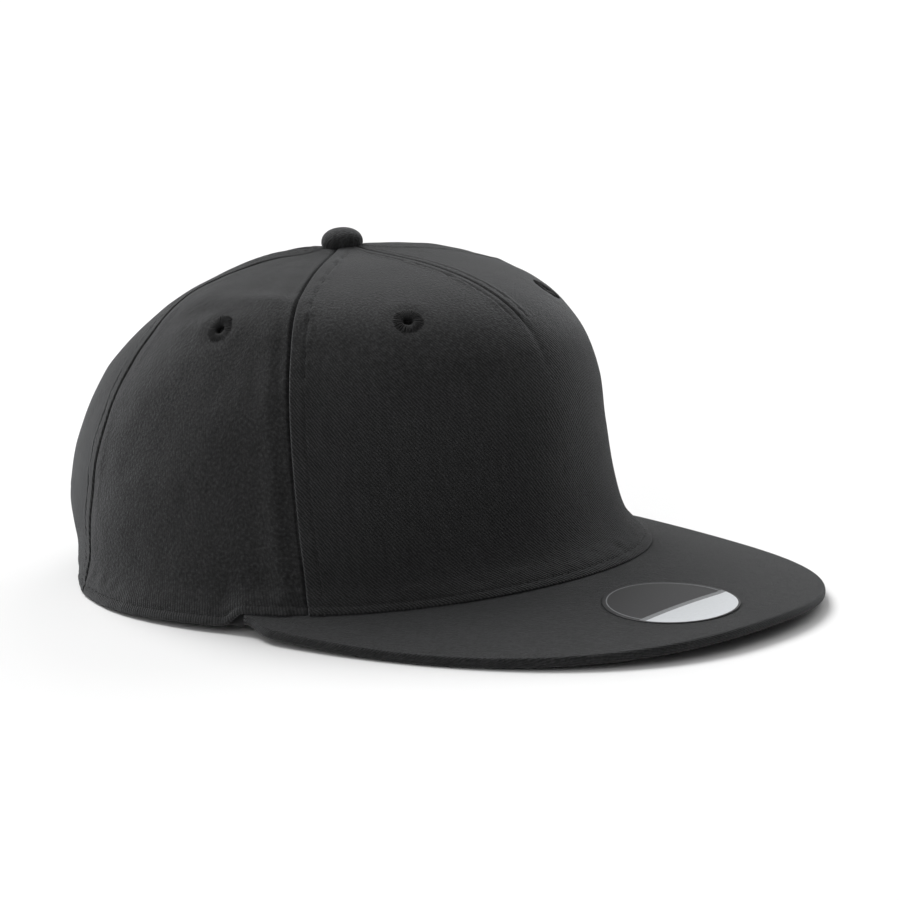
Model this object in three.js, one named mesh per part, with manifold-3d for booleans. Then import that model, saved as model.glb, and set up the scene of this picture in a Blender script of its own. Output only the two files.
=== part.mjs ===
import * as THREE from 'three';
import { mergeVertices } from 'three/addons/utils/BufferGeometryUtils.js';
import Module from 'manifold-3d';

// A flat-peak snapback cap, in millimetres. The front faces -Y, the wearer's right is -X,
// and the hem stands on z = 0. Azimuths are degrees from the front, growing towards +X.
const { degToRad, radToDeg, lerp, clamp, smoothstep } = THREE.MathUtils;

// Crown: its hem's reach is measured from the button's axis
const crownHeight = 110.2;
const crownFront = 108;
const crownBack = 90.5;
const crownSide = 95;
const crownLean = 1.5;
const crownWall = 1.8;
const clearance = 0.3;

// Hem: it lies on the peak, steps down past the peak's ends, and slopes to the floor from
// there. The step's width and the slope's end are degrees of azimuth
const hemStep = 5;
const hemSideHeight = 2.2;
const hemSlopeEnd = 125;
const hemUpright = 0.1;
const hemLiftEnd = 0.5;
const hemLiftBend = 1.5;

// Seams, as azimuths at the hem and at the button
const frontSeamAtHem = 55;
const frontSeamAtTop = 65;
const backSeamAzimuth = 120;
const seamRoll = 2.4;
const seamDip = 0.6;
const seamRollLimit = 0.6;

// Dart down the top middle of the front panel, and where it ends as a share of the way up
const dartEnd = 0.66;
const dartFade = 0.12;

// Soft folds and dents in the cloth
const foldDepth = 1.6;

// Half-moon opening at the back, measured at the hem and from the hem up
const archWidth = 96;
const archHeight = 62;

// Peak: a curved plate that rises across its middle and dips towards its front, by peakDip
// for each millimetre
const peakWidth = 187.2;
const peakLength = 142.1;
const peakThickness = 3.2;
const peakEnd = 36.7;
const peakEndHeight = 5.8;
const peakRise = 9.7;
const peakDip = 0.059;
const peakSideBend = 2.34;
const peakFrontBend = 2.27;
const peakRim = 0.7;
const peakTuck = 4;
const peakTuckLength = 16;
const peakEndMargin = 0.5;

// Button and its post through the crown. The underside is narrower than the dome, whose
// round is fuller than a ball's
const buttonWidth = 14;
const buttonHeight = 6.4;
const buttonFoot = 1;
const buttonUnderside = 0.9;
const buttonOverhang = 0.8;
const buttonFullness = 0.8;
const buttonSteps = 6;
const postWidth = 4.6;
const postLength = 3.4;
const buttonHole = postWidth + 2 * clearance;

// Stitched eyelets
const eyeletWidth = 9.6;
const eyeletHole = 2.8;
const eyeletBarrel = 4.8;
const eyeletRaise = 0.9;
const frontEyeletAzimuth = 29.5;
const frontEyeletPlace = 0.715;
const sideEyeletAzimuth = 86;
const sideEyeletPlace = 0.68;

// Sweatband inside the hem
const bandHeight = 29;
const bandThickness = 1;
const bandFootHeight = 2.4;
const bandClearance = 1.1;

// Snap strap: two strips that overlap behind the opening
const strapWidth = 18;
const strapFootHeight = 1.6;
const strapThickness = 1.2;
const strapRoot = 12;
const strapClearance = 0.8;
const strapEnd = 3;
const strapCurveIn = 9;
const snapPitch = 9;
const snapCount = 7;
const snapsFastened = 5;
const studWidth = 4;
const studRaise = 1.3;

// Plain round label on the peak, placed from the button's axis
const labelWidth = 44;
const labelThickness = 0.4;
const labelForward = 145;
const labelAside = -7;

// Levels of the crown from hem to top: height as a share of crownHeight, and reach to the
// front, back and side as shares of the hem's reach
const levels = [
  { height: 0.00, front: 1.000, back: 1.000, side: 1.000 },
  { height: 0.11, front: 0.903, back: 1.076, side: 0.936 },
  { height: 0.26, front: 0.852, back: 1.131, side: 0.918 },
  { height: 0.44, front: 0.835, back: 1.076, side: 0.880 },
  { height: 0.62, front: 0.838, back: 0.936, side: 0.817 },
  { height: 0.78, front: 0.787, back: 0.727, side: 0.715 },
  { height: 0.90, front: 0.630, back: 0.470, side: 0.586 },
  { height: 0.97, front: 0.373, back: 0.277, side: 0.325 },
  { height: 1.00, front: 0.000, back: 0.000, side: 0.000 },
];

// Folds and dents: azimuth and place up the crown, their spreads, and depth as a share of
// foldDepth, with dents below zero
const folds = [
  { azimuth: -62, place: 0.38, wide: 3.5, tall: 0.28, depth: 0.70 },
  { azimuth: 62, place: 0.38, wide: 3.5, tall: 0.28, depth: 0.60 },
  { azimuth: 0, place: 0.42, wide: 13.0, tall: 0.26, depth: 0.75 },
  { azimuth: -65, place: 0.15, wide: 5.0, tall: 0.07, depth: -0.90 },
  { azimuth: 68, place: 0.13, wide: 6.0, tall: 0.08, depth: -0.60 },
  { azimuth: -76, place: 0.77, wide: 9.0, tall: 0.04, depth: 0.55 },
  { azimuth: -96, place: 0.72, wide: 8.0, tall: 0.04, depth: -0.60 },
  { azimuth: 90, place: 0.74, wide: 12.0, tall: 0.04, depth: 0.50 },
];

// Mesh steps
const frontColumns = 18;
const sideColumnsAhead = 3;
const sideColumnsBehind = 6;
const backColumns = 5;
const archColumns = 7;
const panelRows = 16;
const rowEase = 1.2;
const peakColumns = 30;
const peakRows = 6;
const bandColumns = 72;
const bandRows = 5;
const strapColumns = 16;
const strapRows = [0, 0.25, 0.5, 0.75, 1];
const buttonSides = 20;
const eyeletSides = 14;
const snapSides = 8;
const labelSides = 24;

const black = new THREE.MeshStandardMaterial({ color: 0x242425, roughness: 0.95, metalness: 0 });
const thread = new THREE.MeshStandardMaterial({ color: 0x1d1d1e, roughness: 0.85, metalness: 0 });
const plastic = new THREE.MeshStandardMaterial({ color: 0x19191a, roughness: 0.4, metalness: 0 });
const paper = new THREE.MeshStandardMaterial({ color: 0xa9abad, roughness: 0.5, metalness: 0 });

const wasm = await Module();
wasm.setup();

// Spline through evenly spaced values, from 0 at the first to 1 at the last
function spline(values, place) {
  const last = values.length - 1;
  const way = clamp(place, 0, 1) * last;
  const start = Math.min(Math.floor(way), last - 1);
  const u = way - start;
  const before = start > 0 ? values[start - 1] : 2 * values[0] - values[1];
  const after = start < last - 1 ? values[start + 2] : 2 * values[last] - values[last - 1];
  const from = values[start];
  const to = values[start + 1];
  const bend = 2 * before - 5 * from + 4 * to - after;
  const twist = 3 * from - before - 3 * to + after;
  return from + 0.5 * u * (to - before + u * (bend + u * twist));
}

const levelSpline = (name, place) => spline(levels.map((level) => level[name]), place);

// Halves a range until the growing function reaches the goal
function solve(grows, goal, low, high) {
  for (let i = 0; i < 30; i += 1) {
    const middle = (low + high) / 2;
    if (grows(middle) < goal) {
      low = middle;
    } else {
      high = middle;
    }
  }
  return (low + high) / 2;
}

// Distance of the crown's surface from the button's axis
function crownRadius(azimuth, place) {
  const angle = degToRad(azimuth);
  const ahead = Math.cos(angle) >= 0;
  const reach = ahead ? crownFront * levelSpline('front', place) : crownBack * levelSpline('back', place);
  const side = crownSide * levelSpline('side', place);
  const tiny = 1e-6;
  return 1 / Math.hypot(Math.sin(angle) / Math.max(side, tiny), Math.cos(angle) / Math.max(reach, tiny));
}

const placeAtHeight = (height) => solve((p) => crownHeight * levelSpline('height', p), height, 0, 1);
const placeAtRadius = (azimuth, radius) => solve((p) => -crownRadius(azimuth, p), -radius, 0.6, 1);

// Top of the peak over a point of the floor
function peakTop(x, y) {
  const across = x / (peakWidth / 2);
  const forward = Math.max(-y - peakEnd, 0);
  return peakEndHeight + peakRise * (1 - across * across) - peakDip * forward;
}

// Azimuth where the peak's ends meet the hem
const peakEndSide = crownSide * Math.sqrt(1 - (peakEnd / crownFront) ** 2);
const peakEndAzimuth = radToDeg(Math.atan2(peakEndSide, peakEnd));

// Height of the hem's underside
function hemHeight(azimuth, x, y) {
  const past = Math.abs(azimuth) - peakEndAzimuth;
  const offPeak = smoothstep(past, peakEndMargin, peakEndMargin + hemStep);
  const slope = smoothstep(past, 0, hemSlopeEnd - peakEndAzimuth);
  return lerp(peakTop(x, y) + clearance, hemSideHeight * (1 - slope), offPeak);
}

function crownSurface(azimuth, place) {
  const angle = degToRad(azimuth);
  const radius = crownRadius(azimuth, place);
  const x = radius * Math.sin(angle);
  const y = -radius * Math.cos(angle) - crownLean * smoothstep(place, 0, 1);
  const hemRadius = crownRadius(azimuth, 0);
  const lift = hemHeight(azimuth, hemRadius * Math.sin(angle), -hemRadius * Math.cos(angle));
  const fade = Math.max(1 - place / hemLiftEnd, 0) ** hemLiftBend;
  return new THREE.Vector3(x, y, crownHeight * levelSpline('height', place) + lift * fade);
}

// Outward normal, level at the hem so that the hem's underside is flat
function crownNormal(azimuth, place) {
  const across = crownSurface(azimuth + 1, place).sub(crownSurface(azimuth - 1, place));
  const upward = crownSurface(azimuth, Math.min(place + 0.01, 1)).sub(crownSurface(azimuth, Math.max(place - 0.01, 0)));
  const normal = across.cross(upward).normalize();
  normal.z *= smoothstep(place, 0, hemUpright);
  return normal.normalize();
}

function foldRelief(azimuth, place) {
  let relief = 0;
  for (const fold of folds) {
    const aside = (azimuth - fold.azimuth) / fold.wide;
    const along = (place - fold.place) / fold.tall;
    relief += fold.depth * foldDepth * Math.exp(-aside * aside - along * along);
  }
  return relief;
}

// Point of the crown, set in from its outer surface. Azimuths past 180 are on the right
function crownPoint(azimuth, place, inset) {
  const turned = azimuth > 180 ? azimuth - 360 : azimuth;
  const outward = foldRelief(turned, place) * smoothstep(place, 0, hemUpright) - inset;
  const point = crownSurface(turned, place).addScaledVector(crownNormal(turned, place), outward);
  if (place === 0) {
    point.z = hemHeight(turned, point.x, point.y);
  }
  return point;
}

// Closed body through loops of points. Each loop goes up the outside and down the inside,
// and each four-sided face is cut along its shorter diagonal
function loft(loops) {
  const size = loops[0].length;
  const last = loops.length - 1;
  const points = loops.flat();
  const positions = points.flatMap((point) => point.toArray());
  const index = [];
  const quad = (a, b, c, d) => {
    if (points[a].distanceTo(points[c]) < points[b].distanceTo(points[d])) {
      index.push(a, b, c, a, c, d);
    } else {
      index.push(a, b, d, b, c, d);
    }
  };
  for (let k = 0; k < last; k += 1) {
    for (let i = 0; i < size; i += 1) {
      const next = (i + 1) % size;
      quad(k * size + i, (k + 1) * size + i, (k + 1) * size + next, k * size + next);
    }
  }
  for (let i = 0; i < size / 2 - 1; i += 1) {
    const across = size - 1 - i;
    quad(i, i + 1, across - 1, across);
    quad(last * size + across, last * size + across - 1, last * size + i + 1, last * size + i);
  }
  const geometry = new THREE.BufferGeometry();
  geometry.setAttribute('position', new THREE.Float32BufferAttribute(positions, 3));
  geometry.setIndex(index);
  return geometry;
}

function solidOf(geometry) {
  const bare = geometry.clone();
  bare.deleteAttribute('normal');
  bare.deleteAttribute('uv');
  const merged = mergeVertices(bare);
  const vertProperties = new Float32Array(merged.attributes.position.array);
  const triVerts = new Uint32Array(merged.index.array);
  return new wasm.Manifold(new wasm.Mesh({ numProp: 3, vertProperties, triVerts }));
}

function geometryOf(solid) {
  const { vertProperties, triVerts } = solid.getMesh();
  const geometry = new THREE.BufferGeometry();
  geometry.setAttribute('position', new THREE.Float32BufferAttribute(vertProperties, 3));
  geometry.setIndex(Array.from(triVerts));
  return geometry;
}

function piece(name, geometry, material) {
  geometry.computeVertexNormals();
  const mesh = new THREE.Mesh(geometry, material);
  mesh.name = name;
  return mesh;
}

// Round bar along a direction, its middle at a point
function roundBar(diameter, length, sides, middle, direction) {
  const bar = new THREE.CylinderGeometry(diameter / 2, diameter / 2, length, sides);
  const turn = new THREE.Quaternion().setFromUnitVectors(new THREE.Vector3(0, 1, 0), direction);
  bar.applyQuaternion(turn);
  bar.translate(middle.x, middle.y, middle.z);
  return solidOf(bar);
}

const frontSeam = (place) => lerp(frontSeamAtHem, frontSeamAtTop, place);
const backSeam = () => backSeamAzimuth;
const backMiddle = () => 180;
const archHalfAngle = radToDeg(Math.asin(archWidth / 2 / crownBack));
const archTop = placeAtHeight(archHeight);

// Shares from one value to another in even parts, without the two ends
function between(from, to, parts) {
  const shares = [];
  for (let i = 1; i < parts; i += 1) {
    shares.push(lerp(from, to, i / parts));
  }
  return shares;
}

// Columns of a panel, from the inner shares of its arc. At a seam or a dart the cloth turns
// in: step says how many rolls a column stands off the line, and dip how deep it goes
function seamColumns(inner, dartShare) {
  const columns = [{ share: 0, gap: 1, step: 0, dip: 1 }, { share: 0, gap: 1, step: 1, dip: 0 }];
  for (const share of inner) {
    if (share === dartShare) {
      columns.push({ share, gap: 0, step: -1, dip: 0 });
      columns.push({ share, gap: 0, step: 0, dip: 0, dart: 1 });
      columns.push({ share, gap: 0, step: 1, dip: 0 });
    } else {
      columns.push({ share, gap: 0, step: 0, dip: 0 });
    }
  }
  columns.push({ share: 1, gap: -1, step: -1, dip: 0 }, { share: 1, gap: -1, step: 0, dip: 1 });
  return columns;
}

// One panel between two seams. Its lowest place is given for each column
function panel(columns, from, to, lowest) {
  const loops = columns.map((column) => {
    const outside = [];
    const inside = [];
    for (let row = 0; row <= panelRows; row += 1) {
      const rough = lerp(from(1), to(1), column.share);
      const top = placeAtRadius(rough, buttonHole / 2);
      const place = lerp(lowest(column.share), top, rowShare(row));
      const middle = lerp(from(place), to(place), column.share);
      const perMillimetre = radToDeg(1 / crownRadius(middle, place));
      const spacing = (to(place) - from(place)) / (columns.length - 3);
      const roll = Math.min(seamRoll * perMillimetre, seamRollLimit * spacing);
      const azimuth = middle + column.gap * perMillimetre * clearance / 2 + column.step * roll;
      const dartDip = column.dart ? smoothstep(place, dartEnd, dartEnd + dartFade) : 0;
      const dip = seamDip * (column.dip + dartDip);
      outside.push(crownPoint(azimuth, place, dip));
      inside.unshift(crownPoint(azimuth, place, crownWall + dartDip * seamDip));
    }
    return outside.concat(inside);
  });
  return loft(loops);
}

const onHem = () => 0;

// Rows of a panel, closer together towards the hem
const rowShare = (row) => (row / panelRows) ** rowEase;

function withEyeletHole(geometry, azimuth, place) {
  const middle = crownPoint(azimuth, place, crownWall / 2);
  const direction = crownNormal(azimuth, place);
  const hole = roundBar(eyeletBarrel + 2 * clearance, 4 * crownWall, eyeletSides, middle, direction);
  return geometryOf(solidOf(geometry).subtract(hole));
}

function frontPanel() {
  const columns = seamColumns(between(0, 1, frontColumns), 0.5);
  const whole = panel(columns, (p) => -frontSeam(p), frontSeam, onHem);
  const once = withEyeletHole(whole, -frontEyeletAzimuth, frontEyeletPlace);
  const pierced = withEyeletHole(once, frontEyeletAzimuth, frontEyeletPlace);
  return piece('crown_front_panel', pierced, black);
}

// Shares of a side panel's arc, with a column at each end of the hem's step off the peak
function sideShares() {
  const shareAt = (azimuth) => (azimuth - frontSeamAtHem) / (backSeamAzimuth - frontSeamAtHem);
  const onPeak = shareAt(peakEndAzimuth + peakEndMargin);
  const offPeak = shareAt(peakEndAzimuth + peakEndMargin + hemStep);
  const ahead = between(0, onPeak, sideColumnsAhead);
  const behind = between(offPeak, 1, sideColumnsBehind);
  return ahead.concat(onPeak, (onPeak + offPeak) / 2, offPeak, behind);
}

const mirrored = (shares) => shares.map((share) => 1 - share).reverse();

function sidePanelLeft() {
  const whole = panel(seamColumns(sideShares()), frontSeam, backSeam, onHem);
  const pierced = withEyeletHole(whole, sideEyeletAzimuth, sideEyeletPlace);
  return piece('crown_side_panel_left', pierced, black);
}

function sidePanelRight() {
  const columns = seamColumns(mirrored(sideShares()));
  const whole = panel(columns, () => -backSeamAzimuth, (p) => -frontSeam(p), onHem);
  const pierced = withEyeletHole(whole, -sideEyeletAzimuth, sideEyeletPlace);
  return piece('crown_side_panel_right', pierced, black);
}

// Shares of a back panel's arc, from its side seam to the back middle: even up to the
// half-moon, then closer together where the half-moon is steep
function backShares() {
  const archStart = 1 - archHalfAngle / (180 - backSeamAzimuth);
  const shares = between(0, archStart, backColumns);
  for (let i = 0; i < archColumns; i += 1) {
    shares.push(1 - Math.cos(i / archColumns * Math.PI / 2) * (1 - archStart));
  }
  return shares;
}

// Lower edge of the back panels: a half-moon over the back middle
function archPlace(shareToMiddle) {
  const arc = 180 - backSeamAzimuth;
  const fromMiddle = (1 - shareToMiddle) * arc / archHalfAngle;
  return archTop * Math.sqrt(Math.max(1 - fromMiddle * fromMiddle, 0));
}

function backPanelLeft() {
  const shape = panel(seamColumns(backShares()), backSeam, backMiddle, archPlace);
  return piece('crown_back_panel_left', shape, black);
}

function backPanelRight() {
  const farSeam = () => 360 - backSeamAzimuth;
  const columns = seamColumns(mirrored(backShares()));
  const shape = panel(columns, backMiddle, farSeam, (share) => archPlace(1 - share));
  return piece('crown_back_panel_right', shape, black);
}

// Plan of the peak's free edge, from its right end to its left
function peakEdge(turn) {
  const side = Math.abs(Math.sin(turn)) ** (2 / peakSideBend);
  const forward = peakLength * Math.max(Math.cos(turn), 0) ** (2 / peakFrontBend);
  const tuck = peakTuck * (1 - smoothstep(forward, 0, peakTuckLength));
  const x = Math.sign(turn) * Math.max(peakWidth / 2 * side - tuck, 0);
  return new THREE.Vector2(x, -peakEnd - forward);
}

function peak() {
  const loops = [];
  for (let k = 0; k <= peakColumns; k += 1) {
    const share = 2 * k / peakColumns - 1;
    const root = crownPoint(share * peakEndAzimuth, 0, crownWall);
    const edge = peakEdge(share * Math.PI / 2);
    const reach = edge.distanceTo(root);
    const stops = [];
    for (let row = 0; row < peakRows; row += 1) {
      stops.push({ way: row / peakRows * (1 - peakRim / reach), rim: 0 });
    }
    stops.push({ way: 1 - peakRim / reach, rim: 0 }, { way: 1, rim: peakRim });
    const under = [];
    const over = [];
    for (const { way, rim } of stops) {
      const x = lerp(root.x, edge.x, way);
      const y = lerp(root.y, edge.y, way);
      const top = peakTop(x, y);
      under.push(new THREE.Vector3(x, y, top - peakThickness + rim));
      over.unshift(new THREE.Vector3(x, y, top - rim));
    }
    loops.push(under.concat(over));
  }
  return piece('peak', loft(loops), black);
}

// The button is a domed cover on a post through the hole where the panels meet
function button() {
  const apex = crownSurface(0, 1);
  const radius = buttonWidth / 2;
  const beside = crownSurface(0, placeAtRadius(0, radius));
  const rimDrop = apex.z - beside.z;
  const profile = [
    new THREE.Vector2(0, -postLength),
    new THREE.Vector2(postWidth / 2, -postLength),
    new THREE.Vector2(postWidth / 2, clearance),
    new THREE.Vector2(radius * buttonUnderside, clearance - rimDrop * buttonOverhang),
  ];
  const domeHeight = buttonHeight - buttonFoot;
  for (let i = 0; i < buttonSteps; i += 1) {
    const turn = i / buttonSteps * Math.PI / 2;
    const out = radius * Math.cos(turn) ** buttonFullness;
    profile.push(new THREE.Vector2(out, buttonFoot + domeHeight * Math.sin(turn)));
  }
  profile.push(new THREE.Vector2(0, buttonHeight));
  const mesh = piece('button', new THREE.LatheGeometry(profile, buttonSides).rotateX(Math.PI / 2), black);
  mesh.position.copy(apex);
  return mesh;
}

// Ring of stitches around a hole, its barrel in the panel's hole
function eyelet(name, azimuth, place) {
  const profile = [
    new THREE.Vector2(eyeletHole / 2, -crownWall - clearance),
    new THREE.Vector2(eyeletBarrel / 2, -crownWall - clearance),
    new THREE.Vector2(eyeletBarrel / 2, clearance),
    new THREE.Vector2(eyeletWidth / 2, clearance),
    new THREE.Vector2(eyeletWidth / 2 - eyeletRaise / 3, clearance + eyeletRaise * 0.7),
    new THREE.Vector2((eyeletWidth + eyeletHole) / 4, clearance + eyeletRaise),
    new THREE.Vector2(eyeletHole / 2, clearance + eyeletRaise * 0.5),
    new THREE.Vector2(eyeletHole / 2, -crownWall - clearance),
  ];
  const mesh = piece(name, new THREE.LatheGeometry(profile, eyeletSides).rotateX(Math.PI / 2), thread);
  mesh.position.copy(crownPoint(azimuth, place, 0));
  mesh.quaternion.setFromUnitVectors(new THREE.Vector3(0, 0, 1), crownNormal(azimuth, place));
  return mesh;
}

// The band hangs inside the hem and covers the peak's root. It stops beside the half-moon
function sweatband() {
  const rootAngle = radToDeg(strapRoot / crownBack);
  const end = 180 - archHalfAngle - rootAngle - 1;
  const outside = crownWall + bandClearance;
  const inside = outside + bandThickness;
  const top = placeAtHeight(bandHeight);
  const loops = [];
  for (let k = 0; k <= bandColumns; k += 1) {
    const azimuth = lerp(-end, end, k / bandColumns);
    const highest = placeAtRadius(azimuth, buttonHole / 2);
    const stack = (inset) => {
      const hem = crownPoint(azimuth, 0, inset);
      const foot = hem.clone();
      foot.z = Math.max(hem.z - peakThickness - clearance, bandFootHeight);
      const points = [foot];
      for (let row = 1; row <= bandRows; row += 1) {
        points.push(crownPoint(azimuth, Math.min(highest * rowShare(row), top), inset));
      }
      return points;
    };
    loops.push(stack(outside).concat(stack(inside).reverse()));
  }
  return piece('sweatband', loft(loops), black);
}

// Distance from the back middle to the outermost fastened snap, and to each strip's end
const firstSnap = (snapsFastened - 1) / 2 * snapPitch;
const strapOverlap = firstSnap + strapEnd;

// Angle at the back for a distance along the strap from the back middle
const strapAngle = (distance) => radToDeg(distance / crownBack);
const strapPlace = (share) => placeAtHeight(strapFootHeight + strapWidth * share);
const strapRootReach = archHalfAngle * degToRad(crownBack) + strapRoot;

// A strip along the back from its root at one side to past the middle. The inset is how
// far it runs inside the crown's outer surface, at a distance from the back middle
function strapStrip(from, to, inset) {
  const loops = [];
  for (let k = 0; k <= strapColumns; k += 1) {
    const distance = lerp(from, to, k / strapColumns);
    const azimuth = 180 + strapAngle(distance);
    const near = inset(distance);
    const stack = (depth) => strapRows.map((share) => crownPoint(azimuth, strapPlace(share), depth));
    loops.push(stack(near).concat(stack(near + strapThickness).reverse()));
  }
  return solidOf(loft(loops));
}

const outerInset = () => crownWall + strapClearance;

// The inner strip bends in where it passes behind the outer one
function innerInset(distance) {
  const bend = smoothstep(distance, strapOverlap + 1, strapOverlap + 1 + strapCurveIn);
  return lerp(outerInset() + strapThickness + clearance, outerInset(), bend);
}

function snapBar(diameter, distance, inset, reach) {
  const azimuth = 180 + strapAngle(distance);
  const turned = azimuth > 180 ? azimuth - 360 : azimuth;
  const middle = crownPoint(azimuth, strapPlace(0.5), inset - reach / 2);
  return roundBar(diameter, reach, snapSides, middle, crownNormal(turned, strapPlace(0.5)));
}

// Holes start at the end of their strip and go on towards its root, and so do the studs
function strapHoleStrip() {
  let strip = strapStrip(-strapRootReach, strapOverlap, outerInset);
  for (let i = 0; i < snapCount; i += 1) {
    const distance = firstSnap - i * snapPitch;
    const through = 6 * strapThickness;
    const inset = outerInset() + strapThickness / 2 + through / 2;
    strip = strip.subtract(snapBar(studWidth + 2 * clearance, distance, inset, through));
  }
  return piece('strap_hole_strip', geometryOf(strip), plastic);
}

function strapStudStrip() {
  let strip = strapStrip(-strapOverlap, strapRootReach, innerInset);
  for (let i = 0; i < snapCount; i += 1) {
    const distance = i * snapPitch - firstSnap;
    const reach = strapThickness * 1.5 + clearance + studRaise;
    const inset = innerInset(distance) + strapThickness / 2;
    strip = strip.add(snapBar(studWidth, distance, inset, reach));
  }
  return piece('strap_stud_strip', geometryOf(strip), plastic);
}

// Plain round label that lies on the peak
function peakLabel() {
  const outline = [];
  for (let i = 0; i < labelSides; i += 1) {
    const turn = i / labelSides * 2 * Math.PI;
    const x = labelAside + labelWidth / 2 * Math.cos(turn);
    const y = -labelForward + labelWidth / 2 * Math.sin(turn);
    outline.push(new THREE.Vector2(x, y));
  }
  const middle = new THREE.Vector2(labelAside, -labelForward);
  const points = [];
  const index = [];
  for (const lift of [clearance, clearance + labelThickness]) {
    for (const { x, y } of outline.concat(middle)) {
      points.push(x, y, peakTop(x, y) + lift);
    }
  }
  const above = labelSides + 1;
  for (let i = 0; i < labelSides; i += 1) {
    const next = (i + 1) % labelSides;
    index.push(i, next, next + above, i, next + above, i + above);
    index.push(labelSides, next, i, labelSides + above, i + above, next + above);
  }
  const geometry = new THREE.BufferGeometry();
  geometry.setAttribute('position', new THREE.Float32BufferAttribute(points, 3));
  geometry.setIndex(index);
  return piece('peak_label', geometry, paper);
}

const cap = new THREE.Group();
cap.add(frontPanel(), sidePanelRight(), sidePanelLeft(), backPanelRight(), backPanelLeft());
cap.add(peak(), button(), sweatband());
cap.add(eyelet('eyelet_front_right', -frontEyeletAzimuth, frontEyeletPlace));
cap.add(eyelet('eyelet_front_left', frontEyeletAzimuth, frontEyeletPlace));
cap.add(eyelet('eyelet_side_right', -sideEyeletAzimuth, sideEyeletPlace));
cap.add(eyelet('eyelet_side_left', sideEyeletAzimuth, sideEyeletPlace));
cap.add(strapHoleStrip(), strapStudStrip(), peakLabel());

// The origin is under the middle of the whole cap
const extent = new THREE.Box3().setFromObject(cap);
const middle = extent.getCenter(new THREE.Vector3());
cap.position.set(-middle.x, -middle.y, -extent.min.z);

const object = new THREE.Group();
object.add(cap);
export default object;
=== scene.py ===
import math

import bmesh
import bpy
import numpy as np
from bpy.props import FloatProperty, FloatVectorProperty, PointerProperty
from mathutils import Matrix, Vector
from mathutils.bvhtree import BVHTree


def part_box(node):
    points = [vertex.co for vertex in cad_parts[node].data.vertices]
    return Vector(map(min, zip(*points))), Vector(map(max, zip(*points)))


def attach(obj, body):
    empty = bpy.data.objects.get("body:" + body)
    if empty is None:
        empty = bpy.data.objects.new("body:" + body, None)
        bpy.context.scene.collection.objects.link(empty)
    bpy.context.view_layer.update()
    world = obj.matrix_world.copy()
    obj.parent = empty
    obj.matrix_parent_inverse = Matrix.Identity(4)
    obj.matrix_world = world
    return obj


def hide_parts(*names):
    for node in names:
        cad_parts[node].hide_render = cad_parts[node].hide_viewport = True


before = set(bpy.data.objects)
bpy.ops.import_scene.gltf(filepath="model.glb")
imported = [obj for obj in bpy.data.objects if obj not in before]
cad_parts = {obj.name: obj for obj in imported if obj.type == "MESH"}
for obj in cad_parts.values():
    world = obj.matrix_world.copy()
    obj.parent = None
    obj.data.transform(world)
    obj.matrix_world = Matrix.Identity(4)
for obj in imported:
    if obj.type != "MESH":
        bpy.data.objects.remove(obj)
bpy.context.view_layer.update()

bl_info = {
    "name": "Flat-peak snapback cap",
    "version": (1, 0, 0),
    "blender": (4, 5, 0),
    "location": "View3D > Sidebar > Cap",
    "description": "Builds the twill, stitching, snap strap and stage of a flat-peak cap",
    "category": "Add Mesh",
}

BUTTON_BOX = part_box("button")
METRES = 0.001

# The crown's own frame is in millimetres, and has the button's axis at x = y = 0 at the hem.
# Azimuths are degrees from the front, growing towards the wearer's left
CROWN_HEIGHT = 110.2
CROWN_FRONT = 108.0
CROWN_BACK = 90.5
CROWN_SIDE = 95.0
CROWN_LEAN = 1.5
CROWN_WALL = 1.8
CLEARANCE = 0.3
HEM_UPRIGHT = 0.1
HEM_LIFT_END = 0.5
HEM_LIFT_BEND = 1.5
AXIS_Y = (BUTTON_BOX[0].y + BUTTON_BOX[1].y) / 2 / METRES + CROWN_LEAN

FRONT_SEAM_AT_HEM = 55.0
FRONT_SEAM_AT_TOP = 65.0
BACK_SEAM = 120.0
ARCH_WIDTH = 96.0
ARCH_HEIGHT = 62.0
DART_END = 0.66

PEAK_WIDTH = 187.2
PEAK_LENGTH = 142.1
PEAK_THICKNESS = 3.2
PEAK_END = 36.7
PEAK_END_HEIGHT = 5.8
PEAK_RISE = 9.7
PEAK_DIP = 0.059
PEAK_SIDE_BEND = 2.34
PEAK_FRONT_BEND = 2.27
PEAK_TUCK = 4.0
PEAK_TUCK_LENGTH = 16.0
HEM_STEP = 5.0
HEM_SIDE_HEIGHT = 2.2
HEM_SLOPE_END = 125.0
PEAK_END_MARGIN = 0.5

BUTTON_HOLE = 5.2
EYELETS = {
    "eyelet_front_right": (-29.5, 0.715),
    "eyelet_front_left": (29.5, 0.715),
    "eyelet_side_right": (-86.0, 0.68),
    "eyelet_side_left": (86.0, 0.68),
}
BAND_HEIGHT = 29.0
BAND_CLEARANCE = 1.1
BAND_FOOT = 2.4
BAND_THICKNESS = 1.0
STRAP_WIDTH = 18.0
STRAP_FOOT = 1.6
STRAP_ROOT = 12.0
STRAP_CLEARANCE = 0.8
STRAP_THICKNESS = 1.2
STRAP_CURVE_IN = 9.0
STRAP_END = 3.0
SNAP_PITCH = 9.0
SNAP_COUNT = 7
SNAPS_FASTENED = 5
LABEL_FORWARD = 145.0
LABEL_ASIDE = -7.0
LABEL_LIFT = 0.34
LABEL_CURL = 0.25

# Levels from hem to top: height as a share of the crown's, and reach to the front, back and
# side as shares of the hem's reach
LEVELS = {
    "height": (0.00, 0.11, 0.26, 0.44, 0.62, 0.78, 0.90, 0.97, 1.00),
    "front": (1.000, 0.903, 0.852, 0.835, 0.838, 0.787, 0.630, 0.373, 0.000),
    "back": (1.000, 1.076, 1.131, 1.076, 0.936, 0.727, 0.470, 0.277, 0.000),
    "side": (1.000, 0.936, 0.918, 0.880, 0.817, 0.715, 0.586, 0.325, 0.000),
}

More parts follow.
